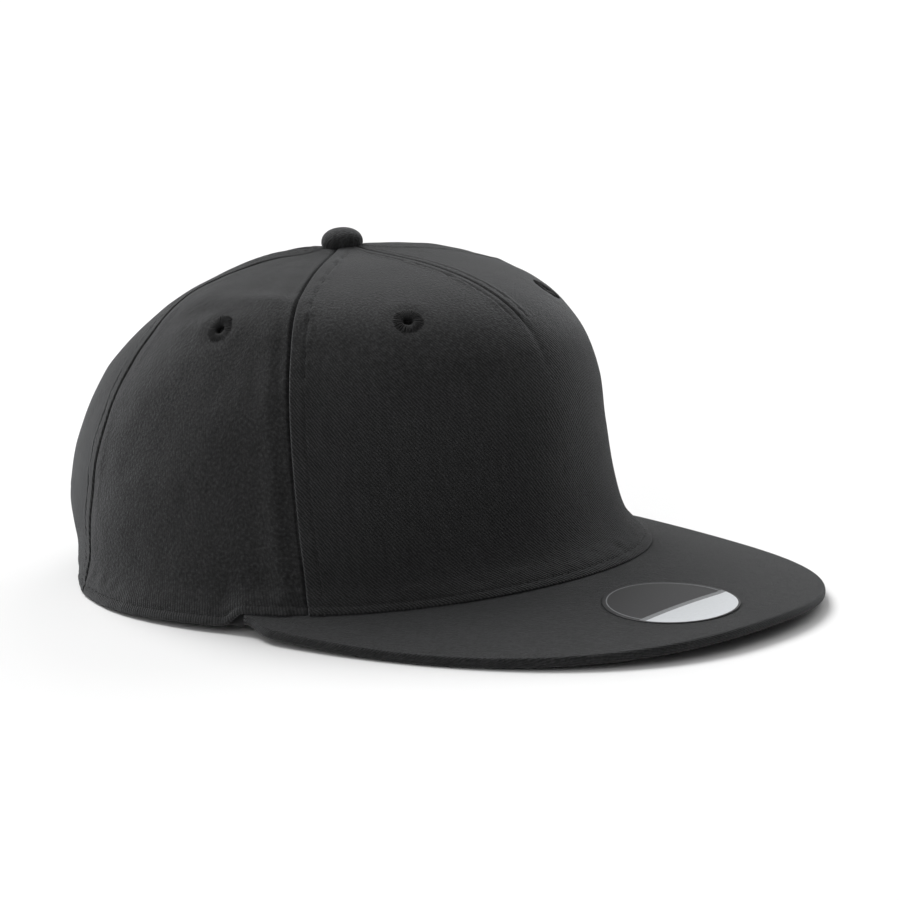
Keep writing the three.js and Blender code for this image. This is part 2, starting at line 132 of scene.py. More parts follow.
# Soft folds and dents: azimuth and place of the middle, slant from upright in degrees,
# half length, half width and depth in millimetres, with dents below zero
FOLDS = (
    (-62.0, 0.38, 0, 42, 4.5, 1.0),
    (62.0, 0.38, 0, 42, 4.5, 0.9),
    (0.0, 0.42, 0, 34, 17.0, 1.2),
    (-65.0, 0.15, 0, 9, 7.0, -1.3),
    (68.0, 0.13, 0, 9, 9.0, -0.9),
    (-76.0, 0.77, 90, 13, 4.0, 0.8),
    (-96.0, 0.72, 75, 13, 4.0, -0.9),
    (90.0, 0.74, 85, 17, 4.0, 0.7),
)
# Degrees round the crown that a fold can reach
FOLD_REACH = 70


# Shape of the crown and the peak

def smoothstep(value, low, high):
    share = np.clip((value - low) / (high - low), 0.0, 1.0)
    return share * share * (3 - 2 * share)


def level(name, place):
    """Spline through a row of LEVELS, from 0 at the hem to 1 at the button."""
    values = np.array(LEVELS[name])
    ends = (2 * values[0] - values[1], 2 * values[-1] - values[-2])
    padded = np.concatenate((ends[:1], values, ends[1:]))
    way = np.clip(place, 0.0, 1.0) * (len(values) - 1)
    start = np.minimum(way.astype(int), len(values) - 2)
    share = way - start
    before, here, after, beyond = (padded[start + step] for step in range(4))
    bend = 2 * before - 5 * here + 4 * after - beyond
    twist = 3 * here - before - 3 * after + beyond
    return here + 0.5 * share * (after - before + share * (bend + share * twist))


def crown_radius(azimuth, place):
    angle = np.radians(azimuth)
    front = CROWN_FRONT * level("front", place)
    back = CROWN_BACK * level("back", place)
    reach = np.maximum(np.where(np.cos(angle) >= 0, front, back), 1e-6)
    side = np.maximum(CROWN_SIDE * level("side", place), 1e-6)
    return 1 / np.hypot(np.sin(angle) / side, np.cos(angle) / reach)


def place_at_height(height):
    places = np.linspace(0, 1, 4001)
    return np.interp(height, CROWN_HEIGHT * level("height", places), places)


def place_at_radius(azimuth, radius):
    """Place near the top where the crown is this far from the button's axis."""
    azimuth = np.asarray(azimuth, float)
    low = np.full(azimuth.shape, 0.6)
    high = np.ones(azimuth.shape)
    for _ in range(30):
        middle = (low + high) / 2
        inside = crown_radius(azimuth, middle) < radius
        high = np.where(inside, middle, high)
        low = np.where(inside, low, middle)
    return (low + high) / 2


def peak_top(x, y):
    across = x / (PEAK_WIDTH / 2)
    forward = np.maximum(-y - PEAK_END, 0.0)
    return PEAK_END_HEIGHT + PEAK_RISE * (1 - across * across) - PEAK_DIP * forward


PEAK_END_AZIMUTH = math.degrees(
    math.atan2(CROWN_SIDE * math.sqrt(1 - (PEAK_END / CROWN_FRONT) ** 2), PEAK_END))


def hem_height(azimuth, x, y):
    past = np.abs(azimuth) - PEAK_END_AZIMUTH
    off_peak = smoothstep(past, PEAK_END_MARGIN, PEAK_END_MARGIN + HEM_STEP)
    slope = smoothstep(past, 0, HEM_SLOPE_END - PEAK_END_AZIMUTH)
    beside = HEM_SIDE_HEIGHT * (1 - slope)
    return (1 - off_peak) * (peak_top(x, y) + CLEARANCE) + off_peak * beside


def crown_surface(azimuth, place):
    azimuth, place = np.broadcast_arrays(np.asarray(azimuth, float), np.asarray(place, float))
    azimuth = np.where(azimuth > 180, azimuth - 360, azimuth)
    angle = np.radians(azimuth)
    radius = crown_radius(azimuth, place)
    x = radius * np.sin(angle)
    y = -radius * np.cos(angle) - CROWN_LEAN * smoothstep(place, 0, 1)
    hem = crown_radius(azimuth, np.zeros_like(place))
    lift = hem_height(azimuth, hem * np.sin(angle), -hem * np.cos(angle))
    fade = np.maximum(1 - place / HEM_LIFT_END, 0) ** HEM_LIFT_BEND
    z = CROWN_HEIGHT * level("height", place) + lift * fade
    return np.stack((x, y, z), -1)


def crown_normal(azimuth, place):
    """Outward normal, level at the hem."""
    across = crown_surface(azimuth + 1, place) - crown_surface(azimuth - 1, place)
    above = crown_surface(azimuth, np.minimum(place + 0.01, 1))
    upward = above - crown_surface(azimuth, np.maximum(place - 0.01, 0))
    normal = np.cross(across, upward)
    normal /= np.linalg.norm(normal, axis=-1, keepdims=True)
    normal[..., 2] *= smoothstep(place, 0, HEM_UPRIGHT)
    return normal / np.linalg.norm(normal, axis=-1, keepdims=True)


def crown_point(azimuth, place, outward):
    azimuth, place = np.broadcast_arrays(np.asarray(azimuth, float), np.asarray(place, float))
    push = crown_normal(azimuth, place) * np.asarray(outward, float)[..., None]
    return crown_surface(azimuth, place) + push


def front_seam(place):
    return FRONT_SEAM_AT_HEM + (FRONT_SEAM_AT_TOP - FRONT_SEAM_AT_HEM) * place


def upright_seam(azimuth):
    """Seam that keeps its azimuth all the way up."""
    return lambda place: azimuth + 0 * place


SEAMS = {
    "front_right": lambda place: -front_seam(place),
    "front_left": front_seam,
    "side_right": upright_seam(-BACK_SEAM),
    "side_left": upright_seam(BACK_SEAM),
    "back": upright_seam(180),
    "dart": upright_seam(0),
}

ARCH_HALF_ANGLE = math.degrees(math.asin(ARCH_WIDTH / 2 / CROWN_BACK))
ARCH_TOP = float(place_at_height(ARCH_HEIGHT))


def arch_place(azimuth):
    """Lower edge of the back panels: a half-moon over the back middle."""
    across = np.abs(azimuth - 180) / ARCH_HALF_ANGLE
    return ARCH_TOP * np.sqrt(np.maximum(1 - across * across, 0))


# Helpers for points along lines

def lengths_along(points, axis=0):
    """Distance from the first point to each, along the line through them."""
    steps = np.linalg.norm(np.diff(points, axis=axis), axis=-1)
    total = np.cumsum(steps, axis=axis)
    start = np.zeros_like(np.take(total, [0], axis=axis))
    return np.concatenate((start, total), axis=axis)


def evenly(density, count):
    """Shares from 0 to 1, closer together where the density is higher."""
    ways = np.linspace(0, 1, len(density))
    total = np.concatenate(([0], np.cumsum((density[1:] + density[:-1]) / 2)))
    return np.interp(np.linspace(0, total[-1], count), total, ways)


def bump_at(distance, width):
    return np.exp(-(distance / width) ** 2)


def ripple(points, seed, shortest, longest, count):
    """Smooth uneven pattern through space, between about -1 and 1."""
    dice = np.random.default_rng(seed)
    total = np.zeros(points.shape[:-1])
    for _ in range(count):
        direction = dice.normal(size=3)
        direction /= np.linalg.norm(direction)
        length = dice.uniform(shortest, longest)
        total += np.sin(points @ direction * (2 * math.pi / length) + dice.uniform(0, 2 * math.pi))
    return total / math.sqrt(count)


# Meshes and pieces

def row_frame(points):
    points = np.asarray(points, float).reshape(-1, 3)
    return (points + (0, AXIS_Y, 0)) * METRES


def grid_quads(rows, columns, first=0, around=False):
    """Faces of a grid of points, joined up across its columns if it goes around."""
    across = columns if around else columns - 1
    row, column = np.meshgrid(np.arange(rows - 1), np.arange(across), indexing="ij")
    here = first + row * columns + column
    beside = first + row * columns + (column + 1) % columns
    return np.stack((here, beside, beside + columns, here + columns), -1).reshape(-1, 4)


def closing_faces(rows, columns):
    """Faces from the last row of a grid back to its first one."""
    line = np.arange(columns - 1)
    last = (rows - 1) * columns
    return np.stack((line, line + 1, last + line + 1, last + line), 1)


def shell_faces(rows, columns):
    """Faces of rows that go round a thin sheet, from one surface to the other, with its
    far edge and both ends closed."""
    faces = [grid_quads(rows, columns)]
    near = np.arange(rows // 2)[:, None] * columns
    far = (rows - 1 - np.arange(rows // 2))[:, None] * columns
    for column in (0, columns - 1):
        faces.append(np.concatenate((near[:-1] + column, near[1:] + column,
                                     far[1:] + column, far[:-1] + column), 1))
    return np.concatenate(faces + [closing_faces(rows, columns)])


def make_piece(name, points, faces, material, nodes=(), weave=None, outward=True):
    """Mesh piece in the row frame, from points in the crown's frame."""
    mesh = bpy.data.meshes.new(name)
    mesh.from_pydata(row_frame(points).tolist(), [], [list(map(int, face)) for face in faces])
    if outward:
        shell = bmesh.new()
        shell.from_mesh(mesh)
        bmesh.ops.recalc_face_normals(shell, faces=shell.faces)
        shell.to_mesh(mesh)
        shell.free()
    if weave is not None:
        layer = mesh.attributes.new("weave", "FLOAT_VECTOR", "POINT")
        layer.data.foreach_set("vector", (np.asarray(weave, float) * METRES).ravel())
    mesh.shade_smooth()
    mesh.materials.append(material)
    piece = bpy.data.objects.new(name, mesh)
    bpy.context.scene.collection.objects.link(piece)
    if nodes:
        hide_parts(*nodes)
    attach(piece, "root")
    return piece


def weave_of(across, up, turn, fade=0.0):
    """Cloth coordinates in millimetres, turned by the panel's grain, and the lines' fading."""
    angle = math.radians(turn)
    turned = (across * math.cos(angle) + up * math.sin(angle),
              up * math.cos(angle) - across * math.sin(angle))
    return np.stack((turned[0], turned[1], fade + 0 * across), -1)


# Crown panels

# Each panel goes from one seam to another. "soft" is the height of its soft waves, and "fade"
# has the places where its twill lines start and end to fade, and how much they do
PANELS = {
    "front": {
        "node": "crown_front_panel", "from": SEAMS["front_right"], "to": SEAMS["front_left"],
        "edges": ("stitched", "stitched"), "grain": 0.0, "soft": 0.07, "dart": True,
        "fade": (0.50, 0.74, 1.0),
    },
    "side_right": {
        "node": "crown_side_panel_right", "from": SEAMS["side_right"],
        "to": SEAMS["front_right"], "edges": ("plain", "sloping"), "grain": -30.0,
        "soft": 0.35, "fade": (-0.08, 0.16, 0.9),
    },
    "side_left": {
        "node": "crown_side_panel_left", "from": SEAMS["front_left"], "to": SEAMS["side_left"],
        "edges": ("sloping", "plain"), "grain": 30.0, "soft": 0.35,
        "fade": (-0.08, 0.16, 0.9),
    },
    "back_right": {
        "node": "crown_back_panel_right", "from": SEAMS["back"],
        "to": upright_seam(360 - BACK_SEAM), "edges": ("plain", "stitched"),
        "grain": -18.0, "soft": 0.30, "arch": True, "fade": (0.10, 0.40, 0.6),
    },
    "back_left": {
        "node": "crown_back_panel_left", "from": SEAMS["side_left"], "to": SEAMS["back"],
        "edges": ("stitched", "stitched"), "grain": 18.0, "soft": 0.30, "arch": True,
        "fade": (0.10, 0.40, 0.6),
    },
}
# Gap between neighbouring panels outside and inside, in millimetres
SEAM_GAP = 0.26
SEAM_GAP_INSIDE = 0.02
# Steps between columns of points right beside a seam, near it and away from it, and how far
# the closer ones reach, in millimetres
CRISP_STEP = 0.13
CRISP_REACH = 0.9
FINE_STEP = 0.45
COARSE_STEP = 1.25
FINE_REACH = 7.0
# Place up a panel where it is about its widest
WIDEST_PLACE = 0.25
# Place up a panel where the weave has its true width
WEAVE_PLACE = 0.30
PANEL_ROWS = 138
# Share of the rows that lie closer together beside the hem
HEM_ROWS_END = 0.06
HEM_ROW_STEP = 0.5
# Even, so that the ends of a panel close without a gap
ROLL_STEPS = 8

# Seams, in millimetres: the valley's half width and the steepness of its sides, the slope
# beside the front seams, and the raised strip over the turnings beside a row of stitches
VALLEY_WIDTH = 0.42
VALLEY_STEEPNESS = 1.6
SLOPE_DEPTH = 0.95
SLOPE_RISE = 1.15
SLOPE_START = 2.6
SLOPE_END = 6.6
# Places between which the slope fades, and how much of it goes
SLOPE_FADE = (0.52, 0.80, 0.85)
SLOPE_RIDGE = 0.34
SLOPE_RIDGE_AWAY = 8.0
SLOPE_RIDGE_WIDTH = 2.4
PLAIN_DEPTH = 0.35
PLAIN_SWELL = 0.12
TURNING = 5.4
TURNING_RISE = 0.30
TURNING_END = 7.8
ROW_DEPTH = 0.38
ROW_WIDTH = 0.60
ROW_PUCKER = 0.24
ROW_PUCKER_WIDTH = 1.5
# At the top the panels are too narrow for turnings: widths over which these fade in
ROOM_FOR_SEAMS = (8, 34)
NARROW_CREASE_DEPTH = 0.6
NARROW_CREASE_WIDTH = 0.7

# Dart: rise and reach of the turnings beside it, and the row of stitches along them
DART_RISE = 0.20
DART_TURNING = (3.6, 5.5)
DART_ROW = 3.2
DART_ROW_DEPTH = 0.30
DART_ROW_WIDTH = 0.5
DART_PUCKER = 0.14
DART_LINE_DEPTH = 0.50
DART_LINE_WIDTH = 0.30
DART_DIMPLE = 0.35

# Uneven patterns in the cloth: seed, shortest and longest wave in millimetres, and count
PUCKERS = (11, 5.5, 11.0, 12)
SOFT_WAVES = (5, 26, 70, 10)
SMALL_WAVES = (7, 8, 16, 14)
SMALL_WAVE_SHARE = 0.20

# The cloth rises to the button, and dips under each eyelet
BUTTON_RISE = 1.3
BUTTON_RISE_REACH = 9.5
EYELET_DIP = 0.35
EYELET_DIP_REACH = 5.5
EYELET_SWELL = 0.18
EYELET_SWELL_AWAY = 8

# Hem: distance of its roll, stitches and swelling from the edge, and their heights
HEM_ROW = 3.4
HEM_ROLL = 0.22
HEM_ROLL_AWAY = 1.7
HEM_GROOVE = 0.30
HEM_SWELL = 0.22
HEM_SWELL_AWAY = 7.0


def azimuth_across(panel, place, shares):
    """Azimuths at shares of the way from a panel's first side to its other one."""
    start = panel["from"](place)
    return start + (panel["to"](place) - start) * shares


def lowest_place(panel, azimuth):
    return arch_place(azimuth) if panel.get("arch") else np.zeros_like(azimuth)


def column_shares(panel):
    """Shares across a panel, close together at its seams, dart and steep lower edge."""
    ways = np.linspace(0, 1, 3001)
    azimuth = azimuth_across(panel, WIDEST_PLACE, ways)
    run = lengths_along(crown_surface(azimuth, np.full_like(ways, WIDEST_PLACE)))
    width = run[-1]
    nearest = np.minimum(run, width - run)
    if panel.get("dart"):
        nearest = np.minimum(nearest, np.abs(run - width / 2))
    fine = 1 - smoothstep(nearest, FINE_REACH * 0.8, FINE_REACH * 1.6)
    step = COARSE_STEP + (FINE_STEP - COARSE_STEP) * fine
    step = CRISP_STEP + (step - CRISP_STEP) * smoothstep(nearest, CRISP_REACH, 2 * CRISP_REACH)
    density = width / len(ways) / step
    hem = azimuth_across(panel, 0.0, ways)
    edge = crown_surface(hem, lowest_place(panel, hem))
    climb = np.linalg.norm(np.gradient(edge, axis=0), axis=1) / COARSE_STEP
    density = np.maximum(density, climb)
    return evenly(density, int(density.sum()) + 1)


def panel_grid(panel):
    """Azimuth, place, rise from the hem and distance across, for rows up a panel."""
    shares = column_shares(panel)
    steps = np.linspace(0, 1, 400)[:, None]
    top = place_at_radius(azimuth_across(panel, 1.0, shares), BUTTON_HOLE / 2)
    hem = azimuth_across(panel, 0.0, shares)
    low = lowest_place(panel, hem)
    places = low + (top - low) * steps
    run = lengths_along(crown_surface(azimuth_across(panel, places, shares), places))
    near_hem = np.linspace(0, 1, 2001) < HEM_ROWS_END
    rows = evenly(1 / np.where(near_hem, HEM_ROW_STEP, COARSE_STEP), PANEL_ROWS)
    start = CROWN_WALL / 2
    rise = start + (run[-1] - start) * rows[:, None]
    place = np.stack([np.interp(rise[:, k], run[:, k], places[:, k])
                      for k in range(len(shares))], 1)
    return shares, azimuth_across(panel, place, shares), place, rise, run, places


def seam_shape(distance, style, wobble, depth, place):
    """How far the cloth stands out beside a seam, in millimetres."""
    valley = -depth * np.exp(-(distance / VALLEY_WIDTH) ** VALLEY_STEEPNESS)
    if style == "sloping":
        step = -SLOPE_DEPTH + SLOPE_RISE * smoothstep(distance, SLOPE_START, SLOPE_END)
        ridge = SLOPE_RIDGE * bump_at(distance - SLOPE_RIDGE_AWAY, SLOPE_RIDGE_WIDTH)
        low, high, share = SLOPE_FADE
        return valley + (1 - share * smoothstep(place, low, high)) * (step + ridge)
    if style == "plain":
        swell = PLAIN_SWELL * smoothstep(distance, 0.3, 1.6)
        swell = swell * (1 - smoothstep(distance, 4.0, 8.0))
        return PLAIN_DEPTH * valley + swell * (1 + 0.5 * wobble)
    raised = TURNING_RISE * smoothstep(distance, 0.2, 1.2)
    raised = raised * (1 - smoothstep(distance, TURNING, TURNING_END))
    pucker = ROW_PUCKER * wobble * bump_at(distance - TURNING, ROW_PUCKER_WIDTH)
    groove = ROW_DEPTH * bump_at(distance - TURNING, ROW_WIDTH)
    return valley + raised + pucker - groove


def fold_shape(azimuth, place, points):
    """How far the soft folds and dents move the cloth, in millimetres."""
    total = np.zeros(place.shape)
    turned = np.where(azimuth > 180, azimuth - 360, azimuth)
    for middle, height, slant, long, wide, depth in FOLDS:
        origin = crown_surface(np.array(middle), np.array(height))
        across = crown_surface(np.array(middle + 0.5), np.array(height)) - origin
        upward = crown_surface(np.array(middle), np.array(height + 0.004)) - origin
        across /= np.linalg.norm(across)
        upward /= np.linalg.norm(upward)
        angle = math.radians(slant)
        away = points - origin
        right, up = away @ across, away @ upward
        along = (up * math.cos(angle) + right * math.sin(angle)) / long
        aside = (right * math.cos(angle) - up * math.sin(angle)) / wide
        near = np.abs(turned - middle) < FOLD_REACH
        total += np.where(near, depth * np.exp(-along * along - aside * aside), 0)
    return total


def distance_to_line(points, line):
    """Distance from each point to the nearest of a dense line's points."""
    flat = points.reshape(-1, 3)
    nearest = np.full(len(flat), np.inf)
    for part in np.array_split(np.arange(len(flat)), 40):
        gaps = flat[part][:, None, :] - line[None, :, :]
        nearest[part] = np.sqrt((gaps * gaps).sum(-1).min(1))
    return nearest.reshape(points.shape[:-1])


def with_dart(relief, place, aside, room, wobble, depth):
    """The relief with a stitched dart at the panel's top, and a dimple below its end."""
    open_part = smoothstep(place, DART_END - 0.015, DART_END + 0.05)
    ridge = DART_RISE * smoothstep(aside, 0.2, 1.0) * (1 - smoothstep(aside, *DART_TURNING))
    groove = -DART_ROW_DEPTH * bump_at(aside - DART_ROW, DART_ROW_WIDTH)
    pucker = DART_PUCKER * wobble * bump_at(aside - DART_ROW, 1.3)
    sewn = open_part * room * (ridge + groove + pucker)
    line = open_part * depth * DART_LINE_DEPTH * np.exp(-(aside / DART_LINE_WIDTH) ** 1.5)
    below = smoothstep(place, DART_END - 0.14, DART_END) * (1 - open_part)
    return relief + sewn - line - DART_DIMPLE * below * bump_at(aside, 1.6)


def panel_relief(panel, azimuth, place, rise, points, across, width):
    """How far the outer cloth stands off the plain crown, in millimetres."""
    depth = bpy.context.scene.cap_seams.depth / METRES
    wobble = ripple(points, *PUCKERS)
    room = smoothstep(width, *ROOM_FOR_SEAMS)
    relief = fold_shape(azimuth, place, points)
    relief += panel["soft"] * ripple(points, *SOFT_WAVES) * smoothstep(place, 0, 0.12)
    relief += SMALL_WAVE_SHARE * panel["soft"] * ripple(points, *SMALL_WAVES)
    sides = ((across, panel["edges"][0]), (width - across, panel["edges"][1]))
    for distance, style in sides:
        shape = seam_shape(distance, style, wobble, depth, place)
        crease = np.exp(-distance / NARROW_CREASE_WIDTH)
        relief += shape * room + (1 - room) * -NARROW_CREASE_DEPTH * depth * crease
    if panel.get("dart"):
        relief = with_dart(relief, place, np.abs(across - width / 2), room, wobble, depth)
    if panel.get("arch"):
        line = np.linspace(180 - ARCH_HALF_ANGLE, 180 + ARCH_HALF_ANGLE, 1500)
        edge = distance_to_line(points, crown_surface(line, arch_place(line)))
        hem = np.minimum(edge, np.where(np.abs(azimuth - 180) > ARCH_HALF_ANGLE, rise, 1e3))
    else:
        hem = rise
    relief += hem_shape(hem, wobble)
    reach = np.hypot(points[..., 0], points[..., 1] + CROWN_LEAN)
    relief += BUTTON_RISE * bump_at(reach, BUTTON_RISE_REACH)
    for spot, height in EYELETS.values():
        away = np.linalg.norm(points - crown_surface(np.array(spot), np.array(height)), axis=-1)
        dip = -EYELET_DIP * bump_at(away, EYELET_DIP_REACH)
        relief += dip + EYELET_SWELL * bump_at(away - EYELET_SWELL_AWAY, 2.5)
    return relief


def hem_shape(distance, wobble):
    """The turned-up hem: a soft roll, a row of stitches, and the cloth swelling above it."""
    roll = HEM_ROLL * bump_at(distance - HEM_ROLL_AWAY, 1.1)
    groove = -HEM_GROOVE * bump_at(distance - HEM_ROW, 0.6)
    swell = (HEM_SWELL + 0.14 * wobble) * bump_at(distance - HEM_SWELL_AWAY, 3.0)
    pucker = 0.10 * wobble * bump_at(distance - 2.2, 1.6)
    return roll + groove + swell + pucker


def between_seams(azimuth, across, width, gap):
    """Azimuths drawn in from both sides so that neighbouring panels stay a gap apart."""
    squeeze = gap / 2 + across / width * (width - gap)
    return np.stack([np.interp(squeeze[k], across[k], azimuth[k]) for k in range(len(azimuth))])


def build_panel(name, panel, material):
    """One panel as a thin closed shell with a rolled hem."""
    shares, azimuth, place, rise, run, places = panel_grid(panel)
    base = crown_surface(azimuth, place)
    across = lengths_along(base, axis=1)
    width = across[:, -1:]
    relief = panel_relief(panel, azimuth, place, rise, base, across, width)
    azimuth_in = between_seams(azimuth, across, width, SEAM_GAP)
    azimuth_back = between_seams(azimuth, across, width, SEAM_GAP_INSIDE)
    outer = crown_point(azimuth_in, place, relief)
    inner = crown_point(azimuth_back, place, np.full_like(place, -CROWN_WALL))
    angles = np.linspace(0, math.pi, ROLL_STEPS + 2)[1:-1, None]
    roll_rise = CROWN_WALL / 2 * (1 - np.sin(angles)) + 0 * shares
    roll_inset = CROWN_WALL / 2 * (1 - np.cos(angles)) + 0 * shares
    roll_place = np.stack([np.interp(roll_rise[:, k], run[:, k], places[:, k])
                           for k in range(len(shares))], 1)
    keep = (1 + np.cos(angles)) / 2
    roll = crown_point(azimuth_in[0] + 0 * roll_place, roll_place, relief[0] * keep - roll_inset)
    floor = crown_surface(azimuth_in[0], places[0])[:, 2]
    roll[..., 2] = np.maximum(roll[..., 2], floor)
    loops = np.concatenate((outer[::-1], roll, inner))
    middle = int(round(np.interp(0.5, shares, np.arange(len(shares)))))
    centre = across[:, [middle]]
    up = rise + lengths_up_to(panel, shares)
    level_row = int(np.argmin(np.abs(place.mean(1) - WEAVE_PLACE)))
    straight = (across - centre)[level_row] + 0 * across
    sheet = weave_of(straight, up, panel["grain"])
    low, high, share = panel["fade"]
    sheet[..., 2] = share * smoothstep(place, low, high)
    weave = np.concatenate((sheet[::-1], np.repeat(sheet[:1], ROLL_STEPS, 0), sheet))
    return make_piece(f"panel_{name}", loops, shell_faces(*loops.shape[:2]), material,
                      nodes=(panel["node"],), weave=weave.reshape(-1, 3))


def lengths_up_to(panel, shares):
    """Distance up the crown from the hem's level to the panel's lower edge."""
    hem = azimuth_across(panel, 0.0, shares)
    low = lowest_place(panel, hem)
    steps = np.linspace(0, 1, 60)[:, None]
    return lengths_along(crown_surface(hem + 0 * steps, low * steps))[-1]


CUTTER_LENGTH = 12


def pierce(piece, azimuth, place, radius):
    """Cuts a round hole through the cloth, square to the crown."""
    middle = crown_surface(np.array(azimuth), np.array(place))
    normal = crown_normal(np.array(azimuth), np.array(place))
    cutter = bpy.data.meshes.new("cutter")
    bar = bmesh.new()
    bmesh.ops.create_cone(bar, cap_ends=True, segments=32, radius1=radius, radius2=radius,
                          depth=CUTTER_LENGTH)
    turn = Vector((0, 0, 1)).rotation_difference(Vector(normal)).to_matrix()
    for vertex in bar.verts:
        vertex.co = Vector(row_frame(np.array(turn @ vertex.co) + middle)[0])
    bar.to_mesh(cutter)
    bar.free()
    tool = bpy.data.objects.new("cutter", cutter)
    bpy.context.scene.collection.objects.link(tool)
    cut = piece.modifiers.new("hole", "BOOLEAN")
    cut.operation = "DIFFERENCE"
    cut.solver = "MANIFOLD"
    cut.object = tool
    before = len(piece.data.vertices)
    apply_modifiers(piece)
    if len(piece.data.vertices) == before:
        raise RuntimeError(f"no hole was cut in {piece.name}")
    bpy.data.objects.remove(tool)
    bpy.data.meshes.remove(cutter)


def apply_modifiers(piece):
    bpy.context.view_layer.update()
    shown = piece.evaluated_get(bpy.context.evaluated_depsgraph_get())
    mesh = bpy.data.meshes.new_from_object(shown)
    old = piece.data
    piece.modifiers.clear()
    piece.data = mesh
    mesh.name = piece.name
    bpy.data.meshes.remove(old)


# Stitches

class Cloth:
    """Finds the cloth's outer surface under a point of the crown."""

    def __init__(self, names):
        points, faces = [], []
        for name in names:
            mesh = bpy.data.objects[name].data
            first = len(points)
            points.extend(vertex.co.copy() for vertex in mesh.vertices)
            faces.extend([first + k for k in face.vertices] for face in mesh.polygons)
        self.tree = BVHTree.FromPolygons(points, faces)

    def on_surface(self, points, normals, reach=6.0):
        """Points moved along their normals onto the cloth."""
        found = []
        for point, normal in zip(row_frame(points), normals):
            start = Vector(point + normal * reach * METRES)
            hit = self.tree.ray_cast(start, Vector(-normal), 2 * reach * METRES)[0]
            found.append(np.array(hit if hit is not None else point))
        return np.array(found) / METRES - (0, AXIS_Y, 0)


def walk(line, normals, pitch):
    """Points and normals at an even pitch along a dense line."""
    run = lengths_along(line)
    count = max(int(run[-1] / pitch), 1)
    ways = np.linspace(0, run[-1], count + 1)
    points = np.stack([np.interp(ways, run, line[:, k]) for k in range(3)], 1)
    turned = np.stack([np.interp(ways, run, normals[:, k]) for k in range(3)], 1)
    return points, turned / np.linalg.norm(turned, axis=1, keepdims=True)


# Places where rows of stitches start and end
ROWS_START = 0.035
ROWS_END = 0.965
DART_ROWS_END = 0.955
# Height in millimetres where the row round the half-moon starts and ends
ARCH_ROW_FOOT = 4.0

STITCH_SIDES = 6
# Way along a stitch, share of its half width, and how far it stands out, in millimetres
STITCH_SECTIONS = ((0.0, 0.25, -0.40), (0.10, 0.75, -0.20), (0.32, 1.0, -0.06),
                   (0.68, 1.0, -0.06), (0.90, 0.75, -0.20), (1.0, 0.25, -0.40))


def ring_round(middle, half, aside, lift, sides):
    """Points round a thread, in the plane of two directions."""
    turns = [2 * math.pi * k / sides for k in range(sides)]
    return [middle + half * (aside * math.cos(turn) + lift * math.sin(turn)) for turn in turns]


def tube_faces(rings, sides, first):
    """Faces of a thread with flat ends, whose points start at first."""
    ends = [[first + k for k in range(sides)][::-1],
            [first + (rings - 1) * sides + k for k in range(sides)]]
    return grid_quads(rings, sides, first, around=True).tolist() + ends


def stitches(line, normals, cloth, dice):
    """Short sunken threads in a row along a line, as points and faces."""
    sewing = bpy.context.scene.cap_stitches
    pitch = (sewing.length + sewing.gap) / METRES
    half = sewing.thread / METRES / 2
    ways, normal = walk(line, normals, pitch)
    ways = cloth.on_surface(ways, normal)
    points, faces = [], []
    share = sewing.length / (sewing.length + sewing.gap)
    for start, finish, outward in zip(ways[:-1], ways[1:], normal[:-1]):
        finish = start + (finish - start) * share * dice.uniform(0.93, 1.05)
        forward = finish - start
        forward = forward / np.linalg.norm(forward)
        aside = np.cross(outward, forward)
        slant = aside * dice.uniform(-0.14, 0.14)
        first = len(points)
        for way, size, lift in STITCH_SECTIONS:
            centre = start + (finish - start) * way + slant * (way - 0.5) + outward * lift
            points.extend(ring_round(centre, half * size, aside, outward * 0.8, STITCH_SIDES))
        faces.extend(tube_faces(len(STITCH_SECTIONS), STITCH_SIDES, first))
    return points, faces


def add_rows(name, lines, cloth, material, seed):
    """One piece from several rows of stitches. A line is (points, normals)."""
    dice = np.random.default_rng(seed)
    points, faces = [], []
    for line, normals in lines:
        more, sides = stitches(line, normals, cloth, dice)
        faces.extend([k + len(points) for k in side] for side in sides)
        points.extend(more)
    make_piece(name, np.array(points), faces, material, outward=False)


def seam_line(seam, aside, low, high):
    """Line beside a seam, a distance to its left seen from outside below zero."""
    place = np.linspace(low, high, 500)
    azimuth = seam(place)
    per_degree = np.linalg.norm(
        crown_surface(azimuth + 0.5, place) - crown_surface(azimuth - 0.5, place), axis=1)
    azimuth = azimuth + aside / per_degree
    return crown_surface(azimuth, place), crown_normal(azimuth, place)


def hem_line(start, end, height):
    azimuth = np.linspace(start, end, 1500)
    steps = np.linspace(0, 0.12, 80)[:, None]
    run = lengths_along(crown_surface(azimuth + 0 * steps, steps + 0 * azimuth))
    place = np.array([np.interp(height, run[:, k], steps[:, 0]) for k in range(len(azimuth))])
    return crown_surface(azimuth, place), crown_normal(azimuth, place)


def arch_line(height):
    """Line at an even distance inside the half-moon's edge."""
    azimuth = np.linspace(180 - ARCH_HALF_ANGLE, 180 + ARCH_HALF_ANGLE, 900)
    edge = crown_surface(azimuth, arch_place(azimuth))
    normal = crown_normal(azimuth, arch_place(azimuth))
    along = np.gradient(edge, axis=0)
    away = np.cross(normal, along)
    away /= np.linalg.norm(away, axis=1, keepdims=True)
    away *= np.sign(away[len(away) // 2, 2])
    line = edge + away * height
    keep = line[:, 2] > ARCH_ROW_FOOT
    return line[keep], normal[keep]


# Peak, button, eyelets, sweatband, strap and label

